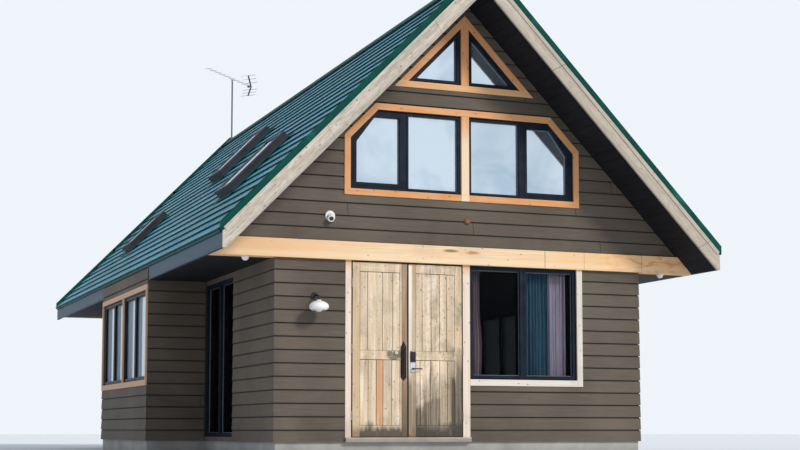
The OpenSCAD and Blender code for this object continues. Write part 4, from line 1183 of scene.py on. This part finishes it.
clear_selection()
bpy.ops.curve.primitive_bezier_curve_add()
arm = bpy.context.object
bpy.ops.object.mode_set(mode="EDIT")
bpy.ops.curve.select_all(action="SELECT")
bpy.ops.curve.subdivide(number_cuts=2)
bpy.ops.object.mode_set(mode="OBJECT")
stops = [(0.0, 0.0), (-0.125, 0.0), (-0.198, -0.018), (-0.215, -0.075)]
for point, (out, drop) in zip(arm.data.splines[0].bezier_points, stops):
    point.co = (LAMP_X, FRONT + out, LAMP_Z + drop)
    point.handle_left_type = point.handle_right_type = "AUTO"
arm.data.dimensions = "3D"
arm.data.bevel_depth = 0.010
arm.data.bevel_resolution = 5
arm.data.use_fill_caps = True
bpy.ops.object.convert(target="MESH")
settled()
plate = bar(0.048, LAMP_X, FRONT - BUTT - 0.006, FRONT, LAMP_Z, 48)
arm_iron = mottled("arm_iron", 30.0, 4.0, (0.4, 0.7), (0.020, 0.019, 0.020), (0.060, 0.055, 0.052),
                   (0.5, 0.2), 0.0006, Metallic=0.7)
finished([arm, eased(plate, 0.003, 3)], "lamp_arm", arm_iron, node="wall_lamp")

# ------------------------ camera, porch lamps and cap
# A small round security camera and a brown vent cap are screwed to the gable's siding, and a
# domed lamp hangs from the soffit over each side porch.
CAM_X, CAM_Z = -1.980, 3.200
base = bar(0.070, CAM_X, FRONT - 0.034, FRONT, CAM_Z + 0.012, 48)
eased(base, 0.014, 5)
eye = Vector((CAM_X + 0.004, FRONT - 0.044, CAM_Z - 0.014))
aim = Vector((-0.24, -0.90, -0.36)).normalized()
case = ball(eye, 40, 24, radius=0.056)
hood = eased(rod(0.044, eye + aim * 0.026, eye + aim * 0.072, 40), 0.004, 3)
cut_out(hood, rod(0.030, eye + aim * 0.060, eye + aim * 0.100, 40))
white_case = mottled("white_case", 30.0, 4.0, (0.5, 0.8), (0.84, 0.84, 0.82), (0.744, 0.744, 0.724),
                     (0.35, 0.2), 0.0003)
finished([base, case, hood], "camera_case", white_case, node="security_camera")
lens = eased(rod(0.0295, eye + aim * 0.058, eye + aim * 0.066, 40), 0.0025, 2)
lens_glass = Finish("camera_lens", Coat_Weight=0.2, Coat_Roughness=0.03)
lens_glass.ground(lens_glass.noise(60.0), (0.010, 0.010, 0.014), (0.025, 0.022, 0.035))
lens_glass.surface(0.12 + lens_glass.noise(40.0) * 0.1)
finished([lens], "camera_lens", lens_glass, node="security_camera")
porch = Finish("porch_lamp_white", Coat_Weight=0.3, Coat_Roughness=0.1)
scuff = porch.noise(18.0)
porch.ground(porch.z > 2.6165, (0.84, 0.83, 0.80), (0.70, 0.70, 0.69))
porch.surface(0.25 + scuff * 0.15, scuff, 0.0004)
porch.cover("soffit_lamps")
mottled("brown_cap_paint", 40.0, 4.0, (0.4, 0.7), (0.17, 0.055, 0.035), (0.30, 0.12, 0.07),
        (0.5, 0.25), 0.0006).cover("vent_cap")

# ------------------------ antenna
# An aluminium receiving antenna on a steel mast, whose saddle straddles the ridge cap over the
# rear verge. The metal has dulled, and the mast is darker than the boom.
MAST_Y, BOOM_Z = 6.500, 7.996
alloy = mottled("dull_aluminium", 9.0, 4.0, (0.35, 0.7), (0.50, 0.55, 0.58), (0.64, 0.69, 0.72),
                (0.38, 0.25), 0.0004, Metallic=0.3)
alloy.stain(((alloy.x > 0.49) * 0.95, (0.020, 0.035, 0.050)),
            (alloy.z.below(7.93, 7.97) * 0.92, (0.030, 0.055, 0.080)))
alloy.cover("antenna")
clamp = eased(block(-0.026, 0.026, MAST_Y - 0.026, MAST_Y + 0.026, 7.962, 8.012), 0.005, 2)
box = eased(block(-0.030, 0.030, -0.022, 0.022, -0.034, 0.012), 0.004, 2)
fittings = [clamp, turned(box, 45, (0.505, 7.005, BOOM_Z - 0.006))]
for rise in (-0.226, 0.226):
    back = rod(0.017, (0.592, 7.092, BOOM_Z), (0.499, 6.999, BOOM_Z + rise), 12)
    fittings.append(eased(back, 0.002))
finished(fittings, "antenna_fittings", alloy)

# ------------------------ curtain rail and curtains
# Three cloth curtains hang from rings on a rail behind the front window: a plum one at the left,
# then teal, then mauve. They are woven, gathered into uneven folds and cut off at the sill.
RAIL_Z, RAIL_Y = 2.585, FRONT + 0.190
CLOTH_FOOT, CLOTH_TOP = 0.938, 2.574
DROP = CLOTH_TOP - CLOTH_FOOT
rail_metal = mottled("rail_metal", 20.0, 3.0, None, (0.50, 0.51, 0.53), (0.66, 0.67, 0.69),
                     (0.3, 0.2), Metallic=0.7)
rail_metal.cover("curtain_rail")


def cloth_finish(name, pale, deep):
    """Woven cloth with slubs, and darker where it is folded away from the light."""
    finish = Finish(name, Sheen_Weight=0.3, Sheen_Roughness=0.5)
    weave = finish.add("ShaderNodeUVMap", {"uv_map": "UVMap"})[0]
    across, up_cloth, _ = finish.parts(weave)
    warp = (across * 6200.0).sine() * 0.5 + 0.5
    weft = (up_cloth * 8000.0).sine() * 0.5 + 0.5
    slub = finish.noise((90.0, 6.0, 0.0), 4.0, over=weave)
    stripe = finish.noise((26.0, 0.0, 0.0), 2.0, over=weave)
    finish.ground(slub.between(0.3, 0.7), deep, pale)
    finish.stain((stripe.between(0.44, 0.58) * 0.8, tuple(c * 0.45 for c in deep)))
    finish.surface(0.80 + slub * 0.15, warp * 0.5 + weft * 0.5 + slub, 0.0005)
    return finish


def curtain(name, x0, x1, folds, depth, finish, gather):
    """A pleated sheet between x0 and x1; gather(v) is its width at each height, 0 to 1."""
    clear_selection()
    bpy.ops.mesh.primitive_grid_add(x_subdivisions=folds * 12, y_subdivisions=36, size=1)
    piece = bpy.context.object
    for vertex in piece.data.vertices:
        u, v = vertex.co.x + 0.5, vertex.co.y + 0.5
        turn = u + 0.018 * math.sin(11.0 * u + 1.3) + 0.006 * math.sin(5.0 * v + 3 * u)
        swing = math.sin(math.tau * folds * turn) * (0.78 + 0.22 * math.sin(7.0 * u + 2.0 * v))
        vertex.co = (
            x0 + (x1 - x0) * gather(v) * u + 0.004 * math.sin(math.tau * folds * 2 * turn),
            RAIL_Y + depth * swing * (1.0 - 0.25 * v ** 6),
            CLOTH_FOOT + DROP * v,
        )
    flat_width = sum(face.area for face in piece.data.polygons) / DROP
    modified(piece, "SOLIDIFY", thickness=0.0016, offset=0)
    bpy.ops.object.shade_smooth()
    rings = []
    for i in range(folds):
        clear_selection()
        bpy.ops.mesh.primitive_torus_add(
            location=(x0 + (x1 - x0) * (i + 0.5) / folds, RAIL_Y, RAIL_Z - 0.005),
            rotation=(0, math.pi / 2, 0), major_radius=0.0165, minor_radius=0.002,
            major_segments=20, minor_segments=6)
        rings.append(settled())
    ring_set = finished(rings, name + "_rings", rail_metal)
    finished([piece], name, finish, node="curtains")
    return flat_width


mauve = cloth_finish("mauve_cloth", (0.96, 0.88, 1.00), (0.56, 0.47, 0.70))
plum = cloth_finish("plum_cloth", (0.48, 0.34, 0.42), (0.26, 0.17, 0.22))
teal = cloth_finish("teal_cloth", (0.055, 0.290, 0.450), (0.014, 0.080, 0.145))
cuts = [
    curtain("curtain_left", 0.150, 0.335, 4, 0.020, plum,
            lambda v: 0.80 + 0.20 * math.sin(math.pi * min(1.0, v / 0.62)) + 0.02 * v),
    curtain("curtain_teal", 0.995, 1.352, 7, 0.021, teal, lambda v: 1.0),
    curtain("curtain_right", 1.368, 1.650, 6, 0.021, mauve, lambda v: 1.0 - 0.02 * (1 - v)),
]
print("curtain cuts", [round(cut, 3) for cut in cuts], "m wide and", round(DROP, 3), "m long")
